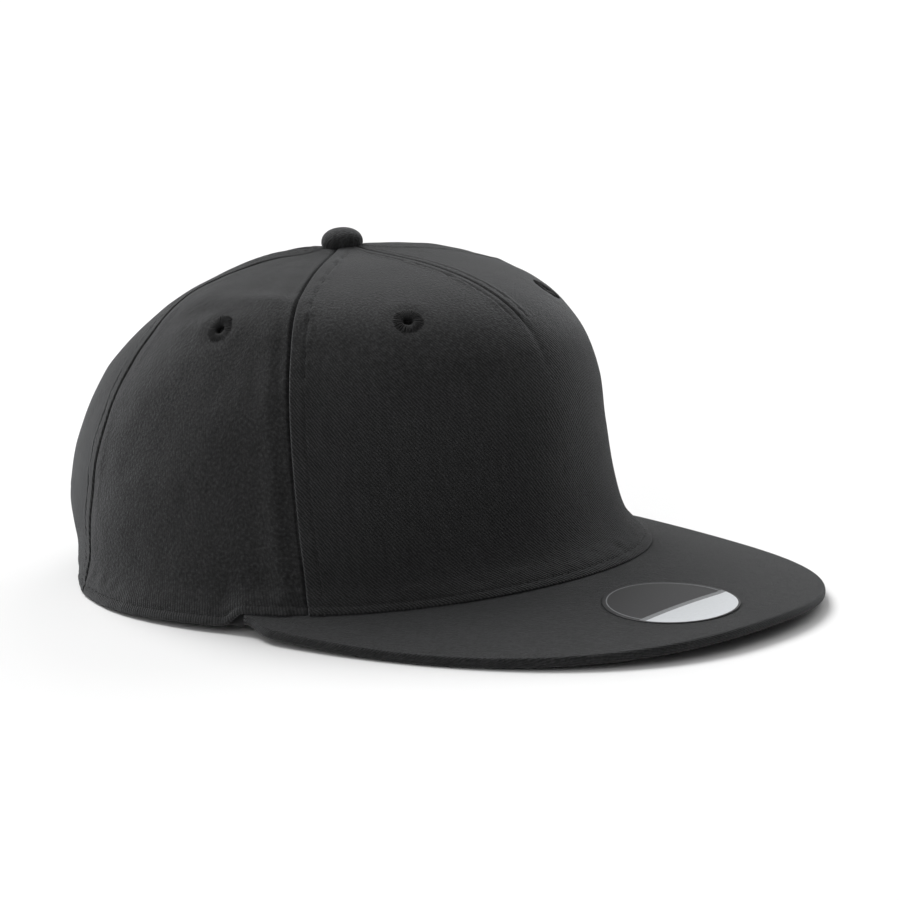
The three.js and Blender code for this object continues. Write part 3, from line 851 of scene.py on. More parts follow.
def peak_edge(turn):
    side = np.abs(np.sin(turn)) ** (2 / PEAK_SIDE_BEND)
    forward = PEAK_LENGTH * np.maximum(np.cos(turn), 0) ** (2 / PEAK_FRONT_BEND)
    tuck = PEAK_TUCK * (1 - smoothstep(forward, 0, PEAK_TUCK_LENGTH))
    x = np.sign(turn) * np.maximum(PEAK_WIDTH / 2 * side - tuck, 0)
    return np.stack((x, -PEAK_END - forward), -1)


PEAK_COLUMNS = 260
PEAK_ROWS = 74
PEAK_RIM_STEPS = 12
PEAK_SEAM = 0.22
PEAK_WAVE = 0.05
PEAK_WAVES = (31, 45, 90, 6)
# The peak's cloth is stretched over its board, so its lines look finer and fainter
PEAK_WEAVE = 1.25
PEAK_GRAIN = 8.0
PEAK_FADE = 0.45


def build_peak(material):
    """The peak's board in its cloth, from the crown's hem to a squarish round rim."""
    fine = np.linspace(-1, 1, 4001)
    run = lengths_along(peak_edge(fine * math.pi / 2))
    share = np.interp(np.linspace(0, run[-1], PEAK_COLUMNS), run, fine)
    root = crown_point(share * PEAK_END_AZIMUTH, np.zeros(PEAK_COLUMNS),
                       np.full(PEAK_COLUMNS, -CROWN_WALL))
    edge = peak_edge(share * math.pi / 2)
    away = edge - root[:, :2]
    reach = np.linalg.norm(away, axis=1)
    rim = np.minimum(PEAK_THICKNESS / 2, reach * 0.45)
    ways = np.linspace(0, 1, PEAK_ROWS)[:, None]
    flat = root[:, :2] + away * (ways * (1 - rim / reach))[..., None]
    top = peak_top(flat[..., 0], flat[..., 1])
    grain = np.concatenate((flat, top[..., None]), -1)
    top = top + PEAK_WAVE * ripple(grain, *PEAK_WAVES)
    over = np.concatenate((flat, top[..., None]), -1)
    under = np.concatenate((flat, (top - PEAK_THICKNESS)[..., None]), -1)
    outward = away / reach[:, None]
    angles = np.linspace(0, math.pi, PEAK_RIM_STEPS + 2)[1:-1]
    rims, unrolled = [], [flat[-1]]
    for angle in angles:
        # A squarer round than a half circle, with a fine sewn line along its lower third
        out = abs(math.sin(angle)) ** 0.62
        height = math.copysign(abs(math.cos(angle)) ** 0.85, math.cos(angle))
        seam = PEAK_SEAM * math.exp(-((height + 0.45) / 0.12) ** 2)
        at = flat[-1] + outward * ((rim * out - seam)[:, None])
        z = top[-1] - PEAK_THICKNESS / 2 + PEAK_THICKNESS / 2 * height
        rims.append(np.concatenate((at, z[:, None]), -1))
        before = rims[-2] if len(rims) > 1 else over[-1]
        step = np.linalg.norm(rims[-1] - before, axis=1)
        unrolled.append(unrolled[-1] + outward * step[:, None])
    loops = np.concatenate((over, np.array(rims), under[::-1]))
    plan = np.concatenate((flat, np.array(unrolled[1:]), flat[::-1])) * PEAK_WEAVE
    cut = weave_of(plan[..., 0], plan[..., 1], PEAK_GRAIN, PEAK_FADE)
    make_piece("peak_cloth", loops, shell_faces(*loops.shape[:2]), material,
               nodes=("peak",), weave=cut.reshape(-1, 3))


# Radius and height, from the button's underside over its rim to its top
BUTTON_SECTION = ((0.0, -0.9), (3.6, -0.9), (5.3, -0.75), (6.4, -0.25), (6.9, 0.65), (7.0, 1.6),
                  (6.8, 2.75), (6.2, 3.9), (5.2, 4.85), (3.9, 5.6), (2.5, 6.05), (1.2, 6.28),
                  (0.0, 6.34))


def smooth_section(section, count):
    """Points evenly spaced along a smooth curve through a section."""
    section = np.array(section, float)
    run = lengths_along(section)
    ways = np.linspace(0, run[-1], count)
    slopes = np.gradient(section, run, axis=0)
    index = np.clip(np.searchsorted(run, ways) - 1, 0, len(run) - 2)
    gap = (run[index + 1] - run[index])[:, None]
    share = (ways - run[index])[:, None] / gap
    a = 2 * share ** 3 - 3 * share ** 2 + 1
    b = share ** 3 - 2 * share ** 2 + share
    return (a * section[index] + b * gap * slopes[index]
            + (1 - a) * section[index + 1] + (share ** 3 - share ** 2) * gap * slopes[index + 1])


def turned_body(section, sides):
    """Points of a section turned about the upright axis, ring by ring, and its faces."""
    turn = np.linspace(0, 2 * math.pi, sides, endpoint=False)
    ring = np.stack((np.cos(turn), np.sin(turn)), -1)
    points = np.concatenate(
        (section[:, None, :1] * ring[None], section[:, None, 1:] + 0 * ring[None, :, :1]), -1)
    return points, grid_quads(len(section), sides, around=True)


def build_button(material):
    apex = crown_surface(np.array(0.0), np.array(1.0))
    points, faces = turned_body(smooth_section(BUTTON_SECTION, 44), 96)
    edge = np.hypot(points[..., 0], points[..., 1])
    turn = np.arctan2(points[..., 1], points[..., 0])
    # The cloth is gathered under the button, and lies in soft creases round its side
    low = 1 - smoothstep(points[..., 2], 0.2, 2.6)
    crease = 0.07 * np.sin(9 * turn + 0.6) + 0.05 * np.sin(14 * turn + 2.0)
    scale = 1 + low * crease / np.maximum(edge, 1) * smoothstep(edge, 3, 6)
    points[..., 0] *= scale
    points[..., 1] *= scale
    points[..., 2] += 0.04 * ripple(points, 41, 5, 9, 8) * smoothstep(edge, 0, 3)
    weave = weave_of(points[..., 0], points[..., 1] + 0.6 * points[..., 2], 25.0, 0.8)
    make_piece("button_cover", points + apex, faces, material, nodes=("button",),
               weave=weave.reshape(-1, 3))


EYELET_HOLE = 1.9
EYELET_SPOKES = 40
THREAD_SIDES = 6
# Points round the eyelet at which the cloth's height is looked up, and their radius
EYELET_PROBES = 12
EYELET_REACH = 4.9
EYELET_BASE = ((1.5, -2.0), (1.6, -0.9), (2.1, -0.2), (2.9, 0.0), (4.2, -0.06), (5.0, -0.30),
               (5.1, -0.6))
# Radius and height of the middle of a thread, from the cloth over the rim and into the hole,
# and the half width that the thread has there
EYELET_PATH = ((5.2, -0.30), (4.95, 0.02), (4.3, 0.20), (3.5, 0.28), (2.7, 0.24), (2.0, 0.06),
               (1.66, -0.40), (1.52, -1.0), (1.45, -1.9))
EYELET_THREAD = (0.12, 0.21, 0.23, 0.22, 0.19, 0.16, 0.14, 0.12, 0.10)


def build_eyelet(name, azimuth, place, cloth, material, dice):
    """Threads wrapped round a hole, over a low ring of cloth."""
    spot = crown_surface(np.array([azimuth]), np.array([place]))
    normal = crown_normal(np.array([azimuth]), np.array([place]))
    rim = []
    for turn in np.linspace(0, 2 * math.pi, EYELET_PROBES, endpoint=False):
        side = Vector(normal[0]).orthogonal().normalized()
        side.rotate(Matrix.Rotation(turn, 3, Vector(normal[0])))
        rim.append(spot[0] + EYELET_REACH * np.array(side))
    landed = cloth.on_surface(np.array(rim), np.repeat(normal, EYELET_PROBES, 0))
    centre = landed.mean(0)
    points, faces = turned_body(smooth_section(EYELET_BASE, 20), 48)
    points, faces = points.reshape(-1, 3).tolist(), faces.tolist()
    for spoke in range(EYELET_SPOKES):
        angle = 2 * math.pi * (spoke + dice.uniform(-0.22, 0.22)) / EYELET_SPOKES
        skew = dice.uniform(-0.05, 0.05)
        stretch = dice.uniform(0.92, 1.04)
        raised = dice.uniform(-0.06, 0.10)
        first = len(points)
        for k, ((out, up), half) in enumerate(zip(EYELET_PATH, EYELET_THREAD)):
            out *= stretch if k < 4 else 1.0
            here = angle + skew * (k - 4) / 4
            height = up + (raised if 0 < k < 6 else 0.0)
            middle = np.array((out * math.cos(here), out * math.sin(here), height))
            before, after = EYELET_PATH[max(k - 1, 0)], EYELET_PATH[min(k + 1, 8)]
            slope = np.array((after[0] - before[0], after[1] - before[1]))
            slope /= np.linalg.norm(slope)
            lift = np.array((slope[1] * -math.cos(here), slope[1] * -math.sin(here), slope[0]))
            lift *= -1 if slope[0] < 0 else 1
            aside = np.array((-math.sin(here), math.cos(here), 0))
            points.extend(ring_round(middle, half, aside, lift, THREAD_SIDES))
        faces.extend(tube_faces(len(EYELET_PATH), THREAD_SIDES, first))
    turn = Vector((0, 0, 1)).rotation_difference(Vector(normal[0])).to_matrix()
    placed = np.array(points) @ np.array(turn).T + centre
    make_piece(f"embroidered_{name}", placed, faces, material, nodes=(name,))


BAND_COLUMNS = 420
BAND_ROWS = 26
BAND_WAVES = (51, 7, 14, 10)


def build_sweatband(material):
    """The band inside the hem. It covers the peak's root and stops beside the half-moon."""
    root = math.degrees(STRAP_ROOT / CROWN_BACK)
    end = 180 - ARCH_HALF_ANGLE - root - 1
    azimuth = np.linspace(-end, end, BAND_COLUMNS)
    outside = CROWN_WALL + BAND_CLEARANCE
    top = place_at_height(BAND_HEIGHT)
    hem = crown_surface(azimuth, np.zeros_like(azimuth))
    foot = np.maximum(hem[:, 2] - PEAK_THICKNESS - CLEARANCE, BAND_FOOT)
    up = np.linspace(0, 1, BAND_ROWS)[:, None]
    place = top * up + 0 * azimuth
    points = crown_surface(azimuth + 0 * place, place)
    wobble = ripple(points, *BAND_WAVES)
    plump = 0.16 * (bump_at(up - 0.97, 0.05) - bump_at(up - 0.88, 0.03)) + 0.05 * wobble
    layers = []
    for inset in (outside, outside + BAND_THICKNESS):
        inward = plump if inset > outside else 0
        layer = crown_point(azimuth + 0 * place, place, -(inset + inward + 0 * place))
        sink = (layer[:1, :, 2] - foot) * (1 - smoothstep(up, 0, 0.3))
        layer[..., 2] -= sink
        layers.append(layer)
    middle = (layers[0][-1] + layers[1][-1]) / 2
    cap = middle + (0, 0, 0.35)
    low = (layers[0][0] + layers[1][0]) / 2 - (0, 0, 0.3)
    loops = np.concatenate((low[None], layers[0], cap[None], layers[1][::-1]))
    count, columns = loops.shape[:2]
    ends = [[k * columns + column for k in range(count)] for column in (0, columns - 1)]
    weave = weave_of(lengths_along(loops, axis=1), lengths_along(loops), 0.0)
    faces = grid_quads(count, columns).tolist() + closing_faces(count, columns).tolist() + ends
    make_piece("sweatband_cloth", loops, faces, material, nodes=("sweatband",),
               weave=weave.reshape(-1, 3))


ARCH_REACH = math.radians(ARCH_HALF_ANGLE) * CROWN_BACK + STRAP_ROOT
FIRST_SNAP = (SNAPS_FASTENED - 1) / 2 * SNAP_PITCH
STRAP_OVERLAP = FIRST_SNAP + STRAP_END


def strap_place(height):
    return place_at_height(STRAP_FOOT + STRAP_WIDTH / 2 + height)


def inner_inset(distance):
    bend = smoothstep(distance, STRAP_OVERLAP + 1, STRAP_OVERLAP + 1 + STRAP_CURVE_IN)
    outer = CROWN_WALL + STRAP_CLEARANCE
    return (outer + STRAP_THICKNESS + CLEARANCE) * (1 - bend) + outer * bend


def outer_inset(distance):
    return CROWN_WALL + STRAP_CLEARANCE + 0 * distance


def bend_strap(points, inset):
    """Flat strip points (along, up, out) laid along the back of the crown."""
    points = np.asarray(points, float)
    azimuth = 180 + np.degrees(points[:, 0] / CROWN_BACK)
    return crown_point(azimuth, strap_place(points[:, 1]), points[:, 2] - inset(points[:, 0]))


def strip_outline(root, tip, corner=3.0, steps=10):
    """Outline of a strip: square at its root and round-cornered at its tip."""
    half = STRAP_WIDTH / 2
    way = 1 if tip > root else -1
    outline = [(root, -half)]
    for k in range(steps + 1):
        turn = math.pi / 2 * k / steps
        outline.append((tip - way * corner * (1 - math.sin(turn)),
                        -half + corner * (1 - math.cos(turn))))
    for k in range(steps + 1):
        turn = math.pi / 2 * k / steps
        outline.append((tip - way * corner * (1 - math.cos(turn)),
                        half - corner * (1 - math.sin(turn))))
    outline.append((root, half))
    return outline


def flat_plate(outline, holes, thickness, rim):
    """Flat plate with round holes and rounded edges, cut across so that it can bend."""
    curve = bpy.data.curves.new("plate", "CURVE")
    curve.dimensions = "2D"
    curve.fill_mode = "BOTH"
    curve.extrude = thickness / 2 - rim
    curve.bevel_depth = rim
    curve.bevel_resolution = 2
    for loop in [outline] + holes:
        spline = curve.splines.new("POLY")
        spline.points.add(len(loop) - 1)
        for point, (x, y) in zip(spline.points, loop):
            point.co = (x, y, 0, 1)
        spline.use_cyclic_u = True
    holder = bpy.data.objects.new("plate", curve)
    bpy.context.scene.collection.objects.link(holder)
    bpy.context.view_layer.update()
    shown = holder.evaluated_get(bpy.context.evaluated_depsgraph_get())
    mesh = bpy.data.meshes.new_from_object(shown)
    bpy.data.objects.remove(holder)
    bpy.data.curves.remove(curve)
    plate = bmesh.new()
    plate.from_mesh(mesh)
    bpy.data.meshes.remove(mesh)
    bmesh.ops.remove_doubles(plate, verts=plate.verts, dist=1e-4)
    low = min(vertex.co.x for vertex in plate.verts)
    high = max(vertex.co.x for vertex in plate.verts)
    cuts = [((at, 0, 0), (1, 0, 0)) for at in np.arange(low + 1.0, high, 1.5)]
    cuts += [((0, at, 0), (0, 1, 0)) for at in (-6, -3, 0, 3, 6)]
    for place, direction in cuts:
        everything = plate.verts[:] + plate.edges[:] + plate.faces[:]
        bmesh.ops.bisect_plane(plate, geom=everything, plane_co=place, plane_no=direction)
    points = np.array([vertex.co for vertex in plate.verts])
    for index, vertex in enumerate(plate.verts):
        vertex.index = index
    faces = [[vertex.index for vertex in face.verts] for face in plate.faces]
    plate.free()
    return points, faces


def circle(x, y, radius, steps=28):
    turn = np.linspace(0, 2 * math.pi, steps, endpoint=False)
    return [(x + radius * math.cos(a), y + radius * math.sin(a)) for a in turn]


def gather(parts):
    """Joins (points, faces) parts into one."""
    points, faces = [], []
    for more, sides in parts:
        faces.extend([int(k) + len(points) for k in side] for side in sides)
        points.extend(np.asarray(more).reshape(-1, 3).tolist())
    return np.array(points), faces


STRAP_RIM = 0.28
SNAP_HOLE = 2.3
SNAP_SIDES = 28
# Radius and height of the rim round a hole, and of a stud
SNAP_RIM = ((2.35, -0.1), (2.4, 0.25), (2.75, 0.38), (3.2, 0.32), (3.55, 0.12), (3.7, -0.1))
STUD_SECTION = ((0.0, 2.95), (0.9, 2.9), (1.55, 2.65), (1.95, 2.2), (2.0, 1.85), (1.75, 1.55),
                (1.6, 1.2), (1.6, 0.3), (1.9, 0.05), (2.2, -0.1))


def build_strip(name, node, outline, holes, snaps, section, inset, material):
    """One strip of the strap with its snaps, laid along the back of the crown."""
    plate, sides = flat_plate(outline, holes, STRAP_THICKNESS, STRAP_RIM)
    parts = [(plate - (0, 0, STRAP_THICKNESS / 2), sides)]
    for at in snaps:
        snap, sides = turned_body(section, SNAP_SIDES)
        parts.append((snap + (at, 0, 0), sides))
    points, faces = gather(parts)
    make_piece(name, bend_strap(points, inset), faces, material,
               nodes=(node,), outward=False)


def build_strap(material):
    """The strip with holes outside, and the strip with studs inside it."""
    snaps = [FIRST_SNAP - k * SNAP_PITCH for k in range(SNAP_COUNT)]
    holes = [circle(at, 0, SNAP_HOLE) for at in snaps]
    build_strip("snap_hole_strip", "strap_hole_strip",
                strip_outline(-ARCH_REACH, STRAP_OVERLAP), holes, snaps,
                smooth_section(SNAP_RIM, 12), outer_inset, material)
    studs = [k * SNAP_PITCH - FIRST_SNAP for k in range(SNAP_COUNT)]
    build_strip("snap_stud_strip", "strap_stud_strip",
                strip_outline(ARCH_REACH, -STRAP_OVERLAP), [], studs,
                smooth_section(STUD_SECTION, 22), inner_inset, material)


def build_label(material):
    """Plain round label that follows the peak, a little lifted along its edge."""
    radius = bpy.context.scene.cap_label.width / METRES / 2
    rings, sides = 26, 120
    turn = np.linspace(0, 2 * math.pi, sides, endpoint=False)
    out = np.concatenate((np.linspace(0, 0.985, rings), (0.995, 1.0, 0.995)))[:, None]
    lift = np.concatenate((np.full(rings, LABEL_LIFT), (0.30, 0.22, 0.12)))[:, None]
    aside, back = out * radius * np.cos(turn), out * radius * np.sin(turn)
    x, y = LABEL_ASIDE + aside, -LABEL_FORWARD + back
    curl = LABEL_CURL * smoothstep(out, 0.8, 1.0) * smoothstep(np.sin(turn + 2.2), 0.2, 1.0)
    points = np.stack((x, y, peak_top(x, y) + lift + curl), -1)
    weave = np.stack((aside, back, 0 * aside), -1)
    make_piece("round_label", points, grid_quads(len(out), sides, around=True), material,
               nodes=("peak_label",), weave=weave.reshape(-1, 3), outward=False)


# Materials

class Nodes:
    """Short ways to add and join shader nodes."""

    def __init__(self, name):
        self.material = bpy.data.materials.new(name)
        self.material.use_nodes = True
        self.tree = self.material.node_tree
        self.shader = self.tree.nodes["Principled BSDF"]

    def add(self, kind, **settings):
        node = self.tree.nodes.new(kind)
        for key, value in settings.items():
            setattr(node, key, value)
        return node

    def join(self, source, target):
        if isinstance(source, (int, float)):
            target.default_value = source
        else:
            self.tree.links.new(source, target)

    def math(self, operation, first, second=0.0, third=0.0):
        node = self.add("ShaderNodeMath", operation=operation)
        for socket, value in zip(node.inputs, (first, second, third)):
            self.join(value, socket)
        return node.outputs[0]

    def noise(self, scale, detail=2.0, vector=None, stretch=None):
        node = self.add("ShaderNodeTexNoise")
        node.inputs["Scale"].default_value = scale
        node.inputs["Detail"].default_value = detail
        if vector is None:
            vector = self.add("ShaderNodeTexCoord").outputs["Object"]
        if stretch is not None:
            turn = self.add("ShaderNodeMapping")
            turn.inputs["Scale"].default_value = stretch
            self.join(vector, turn.inputs["Vector"])
            vector = turn.outputs["Vector"]
        self.join(vector, node.inputs["Vector"])
        return node.outputs["Fac"]

    def wave(self, turns):
        """From 1 to 0 and back once in each whole turn."""
        around = self.math("MULTIPLY", turns, 2 * math.pi)
        return self.math("MULTIPLY_ADD", self.math("COSINE", around), 0.5, 0.5)

    def ramp(self, factor, places, colour, shares):
        """Shares of a colour, one at each place that the factor passes."""
        node = self.add("ShaderNodeValToRGB")
        self.join(factor, node.inputs["Fac"])
        while len(node.color_ramp.elements) < len(places):
            node.color_ramp.elements.new(0.5)
        for element, place, share in zip(node.color_ramp.elements, places, shares):
            element.position = place
            element.color = (*(min(part * share, 1.0) for part in colour), 1.0)
        return node.outputs["Color"]

    def bump(self, height, distance, strength):
        node = self.add("ShaderNodeBump")
        node.inputs["Distance"].default_value = distance
        node.inputs["Strength"].default_value = strength
        self.join(height, node.inputs["Height"])
        return node.outputs["Normal"]

    def surface(self, colour, rough, relief=None, levels=()):
        """The material, with its colour, roughness, bump and further levels set."""
        self.join(colour, self.shader.inputs["Base Color"])
        self.join(rough, self.shader.inputs["Roughness"])
        if relief is not None:
            self.join(relief, self.shader.inputs["Normal"])
        for name, value in levels:
            self.shader.inputs[name].default_value = value
        return self.material

    def weave(self):
        attribute = self.add("ShaderNodeAttribute", attribute_name="weave")
        parts = self.add("ShaderNodeSeparateXYZ")
        self.join(attribute.outputs["Vector"], parts.inputs["Vector"])
        return attribute.outputs["Vector"], *parts.outputs


# Scales of the noises, for object sizes in metres. In the twill: ragged and drifting lines,
# fuzz of the fibres, thicker threads, mottled wear and wide faded patches
RAGGED_SCALE = 650
DRIFT_SCALE = 90
FUZZ_SCALE = 3200
SLUB_SCALE = 420
MOTTLE_SCALE = 980
FADED_SCALE = 38
STRAND_SCALE = 2600
WEAR_SCALE = 300
PLASTIC_SCALE = 1800
HANDLING_SCALE = 60
SPECK_SCALE = 900
# Width of a pick of the twill's weft as a share of its rib pitch
PICK_SHARE = 0.62
BAND_PITCH = 0.0006


def twill_material():
    cloth = bpy.context.scene.cap_twill
    nodes = Nodes("black_cotton_twill")
    coordinates, across, up, faint = nodes.weave()
    lines = nodes.math("MULTIPLY_ADD", faint, -1 / METRES, 1.0)
    angle = cloth.rib_angle
    ragged = nodes.math("MULTIPLY", nodes.noise(RAGGED_SCALE, 2.0, coordinates), 0.85)
    drift = nodes.math("MULTIPLY", nodes.noise(DRIFT_SCALE, 1.0, coordinates), 1.1)
    wale = nodes.math("ADD", nodes.math("MULTIPLY", across, math.sin(angle) / cloth.rib_pitch),
                      nodes.math("MULTIPLY", up, math.cos(angle) / cloth.rib_pitch))
    wale = nodes.math("ADD", nodes.math("ADD", wale, ragged), drift)
    ridge = nodes.wave(wale)
    pick = nodes.math("MULTIPLY", up, 1 / (cloth.rib_pitch * PICK_SHARE))
    float_wave = nodes.wave(nodes.math("MULTIPLY_ADD", wale, 0.5, pick))
    fuzz = nodes.noise(FUZZ_SCALE, 3.0, coordinates)
    slub = nodes.noise(SLUB_SCALE, 2.0, coordinates, (1.0, 0.22, 1.0))
    mottle = nodes.math("ADD", nodes.noise(MOTTLE_SCALE, 2.0, coordinates), -0.5)
    threads = nodes.math("MULTIPLY", ridge, nodes.math("MULTIPLY_ADD", float_wave, 0.35, 0.65))
    threads = nodes.math("MULTIPLY_ADD", nodes.math("ADD", threads, -0.45), lines, 0.45)
    mottle = nodes.math("MULTIPLY", mottle, nodes.math("MULTIPLY_ADD", lines, -0.55, 0.95))
    height = nodes.math("ADD", threads, nodes.math("MULTIPLY", fuzz, 0.55))
    height = nodes.math("ADD", height, nodes.math("MULTIPLY", slub, 0.35))
    height = nodes.math("MULTIPLY_ADD", mottle, 1.1, height)
    # The rib crests are painted lighter and the grooves between them darker: a painted highlight
    # and painted shade from the twill's own ribs, besides the random fuzz, mottle, slub and faded
    # patches
    tone = nodes.math("MULTIPLY_ADD", threads, 0.50, nodes.math("MULTIPLY", fuzz, 0.52))
    tone = nodes.math("MULTIPLY_ADD", mottle, 1.5, tone)
    tone = nodes.math("ADD", tone, nodes.math("MULTIPLY_ADD", slub, 0.30, -0.10))
    faded = nodes.noise(FADED_SCALE, 3.0)
    tone = nodes.math("ADD", tone, nodes.math("MULTIPLY_ADD", faded, 0.24, -0.12))
    return nodes.surface(
        nodes.ramp(tone, (0.22, 0.55, 0.95), cloth.colour, (0.38, 0.95, 2.1)),
        nodes.math("MULTIPLY_ADD", threads, -0.12, 0.93), nodes.bump(height, 0.00028, 0.9),
        (("Specular IOR Level", 0.25), ("Sheen Weight", cloth.sheen),
         ("Sheen Roughness", 0.45), ("Sheen Tint", (0.9, 0.92, 0.95, 1.0))))


def band_material():
    nodes = Nodes("black_band_cloth")
    coordinates, across, up, _ = nodes.weave()
    warp = nodes.math("SINE", nodes.math("MULTIPLY", across, 2 * math.pi / BAND_PITCH))
    weft = nodes.math("SINE", nodes.math("MULTIPLY", up, 2 * math.pi / BAND_PITCH))
    plain = nodes.math("MULTIPLY_ADD", nodes.math("MULTIPLY", warp, weft), 0.5, 0.5)
    fuzz = nodes.noise(STRAND_SCALE, 3.0, coordinates)
    tone = nodes.math("MULTIPLY_ADD", plain, 0.5, nodes.math("MULTIPLY", fuzz, 0.5))
    return nodes.surface(
        nodes.ramp(tone, (0.2, 0.5, 0.9), (0.019, 0.019, 0.020), (0.5, 1.0, 1.8)),
        nodes.math("MULTIPLY_ADD", fuzz, 0.2, 0.72), nodes.bump(tone, 0.0002, 0.8),
        (("Sheen Weight", 0.12),))


def thread_material():
    nodes = Nodes("black_sewing_thread")
    strands = nodes.noise(STRAND_SCALE, 2.0)
    wear = nodes.noise(WEAR_SCALE, 2.0)
    tone = nodes.math("MULTIPLY_ADD", strands, 0.7, nodes.math("MULTIPLY", wear, 0.3))
    base = bpy.context.scene.cap_stitches.colour
    return nodes.surface(
        nodes.ramp(tone, (0.3, 0.5, 0.75), base, (0.5, 1.0, 2.0)),
        nodes.math("MULTIPLY_ADD", strands, 0.3, 0.62), nodes.bump(strands, 0.00015, 0.7),
        (("Specular IOR Level", 0.2), ("Sheen Weight", 0.05)))


def plastic_material():
    nodes = Nodes("black_strap_plastic")
    grain = nodes.noise(PLASTIC_SCALE, 2.0)
    handling = nodes.noise(HANDLING_SCALE, 4.0)
    return nodes.surface(
        nodes.ramp(handling, (0.3, 0.7), (0.014, 0.014, 0.015), (0.8, 1.3)),
        nodes.math("MULTIPLY_ADD", handling, 0.22, 0.26), nodes.bump(grain, 0.00005, 0.5))


def label_material():
    """Dark film with a light front part, a grey line between them and a light rim line."""
    label = bpy.context.scene.cap_label
    nodes = Nodes("two_tone_label_film")
    coordinates, aside, back, _ = nodes.weave()
    radius = label.width / 2
    out = nodes.math("SQRT", nodes.math("ADD", nodes.math("POWER", aside, 2.0),
                                        nodes.math("POWER", back, 2.0)))
    speck = nodes.noise(SPECK_SCALE, 2.0, coordinates)
    split = -label.split
    light = nodes.math("LESS_THAN", back, split)
    stripe = nodes.math("COMPARE", back, split + label.stripe / 2, label.stripe / 2)
    edge = nodes.math("GREATER_THAN", out, radius - label.rim)
    line = nodes.math("COMPARE", out, radius - 2.4 * label.rim, label.rim * 0.28)
    colour = nodes.ramp(speck, (0.2, 0.8), label.dark_colour, (0.7, 1.4))
    pale = nodes.ramp(speck, (0.2, 0.8), label.light_colour, (0.95, 1.04))
    grey = nodes.ramp(speck, (0.2, 0.8), label.light_colour, (0.25, 0.4))
    for share, tint in ((line, grey), (stripe, grey), (light, pale), (edge, colour)):
        mix = nodes.add("ShaderNodeMix", data_type="RGBA")
        nodes.join(share, mix.inputs["Factor"])
        nodes.join(colour, mix.inputs["A"])
        nodes.join(tint, mix.inputs["B"])
        colour = mix.outputs["Result"]
    return nodes.surface(colour, nodes.math("MULTIPLY_ADD", speck, 0.12, 0.42),
                         nodes.bump(speck, 0.00003, 0.4), (("Specular IOR Level", 0.3),))


def floor_material():
    nodes = Nodes("pale_studio_floor")
    soft = nodes.noise(3.0, 2.0)
    return nodes.surface(nodes.ramp(soft, (0.3, 0.7), (1.0, 1.0, 1.0), (0.85, 0.87)), 0.9,
                         levels=(("Specular IOR Level", 0.1),))


def material(name, maker):
    """The named material, made when it is first asked for."""
    return bpy.data.materials.get(name) or maker()


# Stage

# Direction that each light comes from, and its spread in degrees
SUNS = {
    "top": ((0.18, 0.80, 1.0), 38),
    "left": ((-1.0, -0.05, 0.40), 50),
    "right": ((1.0, 0.12, 0.5), 50),
}


def sun(name, direction, strength, spread):
    """Soft distant light that comes from a direction."""
    light = bpy.data.lights.new(name, "SUN")
    light.energy = strength
    light.angle = math.radians(spread)
    holder = bpy.data.objects.new(name, light)
    holder.rotation_euler = Vector(direction).to_track_quat("Z", "Y").to_euler()
    bpy.context.scene.collection.objects.link(holder)


FLOOR_REACH = 12.0
FLOOR_HEIGHT = -0.0001


def build_floor():
    mesh = bpy.data.meshes.new("floor")
    corners = [(x * FLOOR_REACH, y * FLOOR_REACH, FLOOR_HEIGHT)
               for x, y in ((-1, -1), (1, -1), (1, 1), (-1, 1))]
    mesh.from_pydata(corners, [], [(0, 1, 2, 3)])
    mesh.materials.append(floor_material())
    floor = bpy.data.objects.new("floor", mesh)
    bpy.context.scene.collection.objects.link(floor)


def build_world(above, level_light):
    """Pale light, strongest from above. The background itself stays white."""
    world = bpy.data.worlds.new("studio")
    bpy.context.scene.world = world
    world.use_nodes = True
    tree = world.node_tree
    tree.nodes.clear()
    seen = tree.nodes.new("ShaderNodeLightPath")
    lit, shown = tree.nodes.new("ShaderNodeBackground"), tree.nodes.new("ShaderNodeBackground")
    direction = tree.nodes.new("ShaderNodeTexCoord")
    parts = tree.nodes.new("ShaderNodeSeparateXYZ")
    rise = tree.nodes.new("ShaderNodeMapRange")
    for name, value in (("From Min", 0.0), ("From Max", 1.0), ("To Min", level_light),
                        ("To Max", above)):
        rise.inputs[name].default_value = value
    tree.links.new(direction.outputs["Generated"], parts.inputs["Vector"])
    squared = tree.nodes.new("ShaderNodeMath")
    squared.operation = "MULTIPLY"
    for socket in squared.inputs[:2]:
        tree.links.new(parts.outputs["Z"], socket)
    tree.links.new(squared.outputs[0], rise.inputs["Value"])
    tree.links.new(rise.outputs["Result"], lit.inputs["Strength"])
    shown.inputs["Strength"].default_value = 1.0
    shown.inputs["Color"].default_value = (1.0, 1.0, 1.0, 1.0)
    mix, output = tree.nodes.new("ShaderNodeMixShader"), tree.nodes.new("ShaderNodeOutputWorld")
    tree.links.new(seen.outputs["Is Camera Ray"], mix.inputs["Fac"])
    tree.links.new(lit.outputs["Background"], mix.inputs[1])
    tree.links.new(shown.outputs["Background"], mix.inputs[2])
    tree.links.new(mix.outputs["Shader"], output.inputs["Surface"])


# Fitted to the photo, in degrees and millimetres. The aim is a share of the distance
CAMERA_TURN = 46.361
CAMERA_RISE = 11.598
CAMERA_ROLL = 2.33
CAMERA_DISTANCE = 1356.17
CAMERA_LENS = 160.03
AIM_RIGHT = 0.025944
AIM_DOWN = 0.00719
TARGET_HEIGHT = 50.0


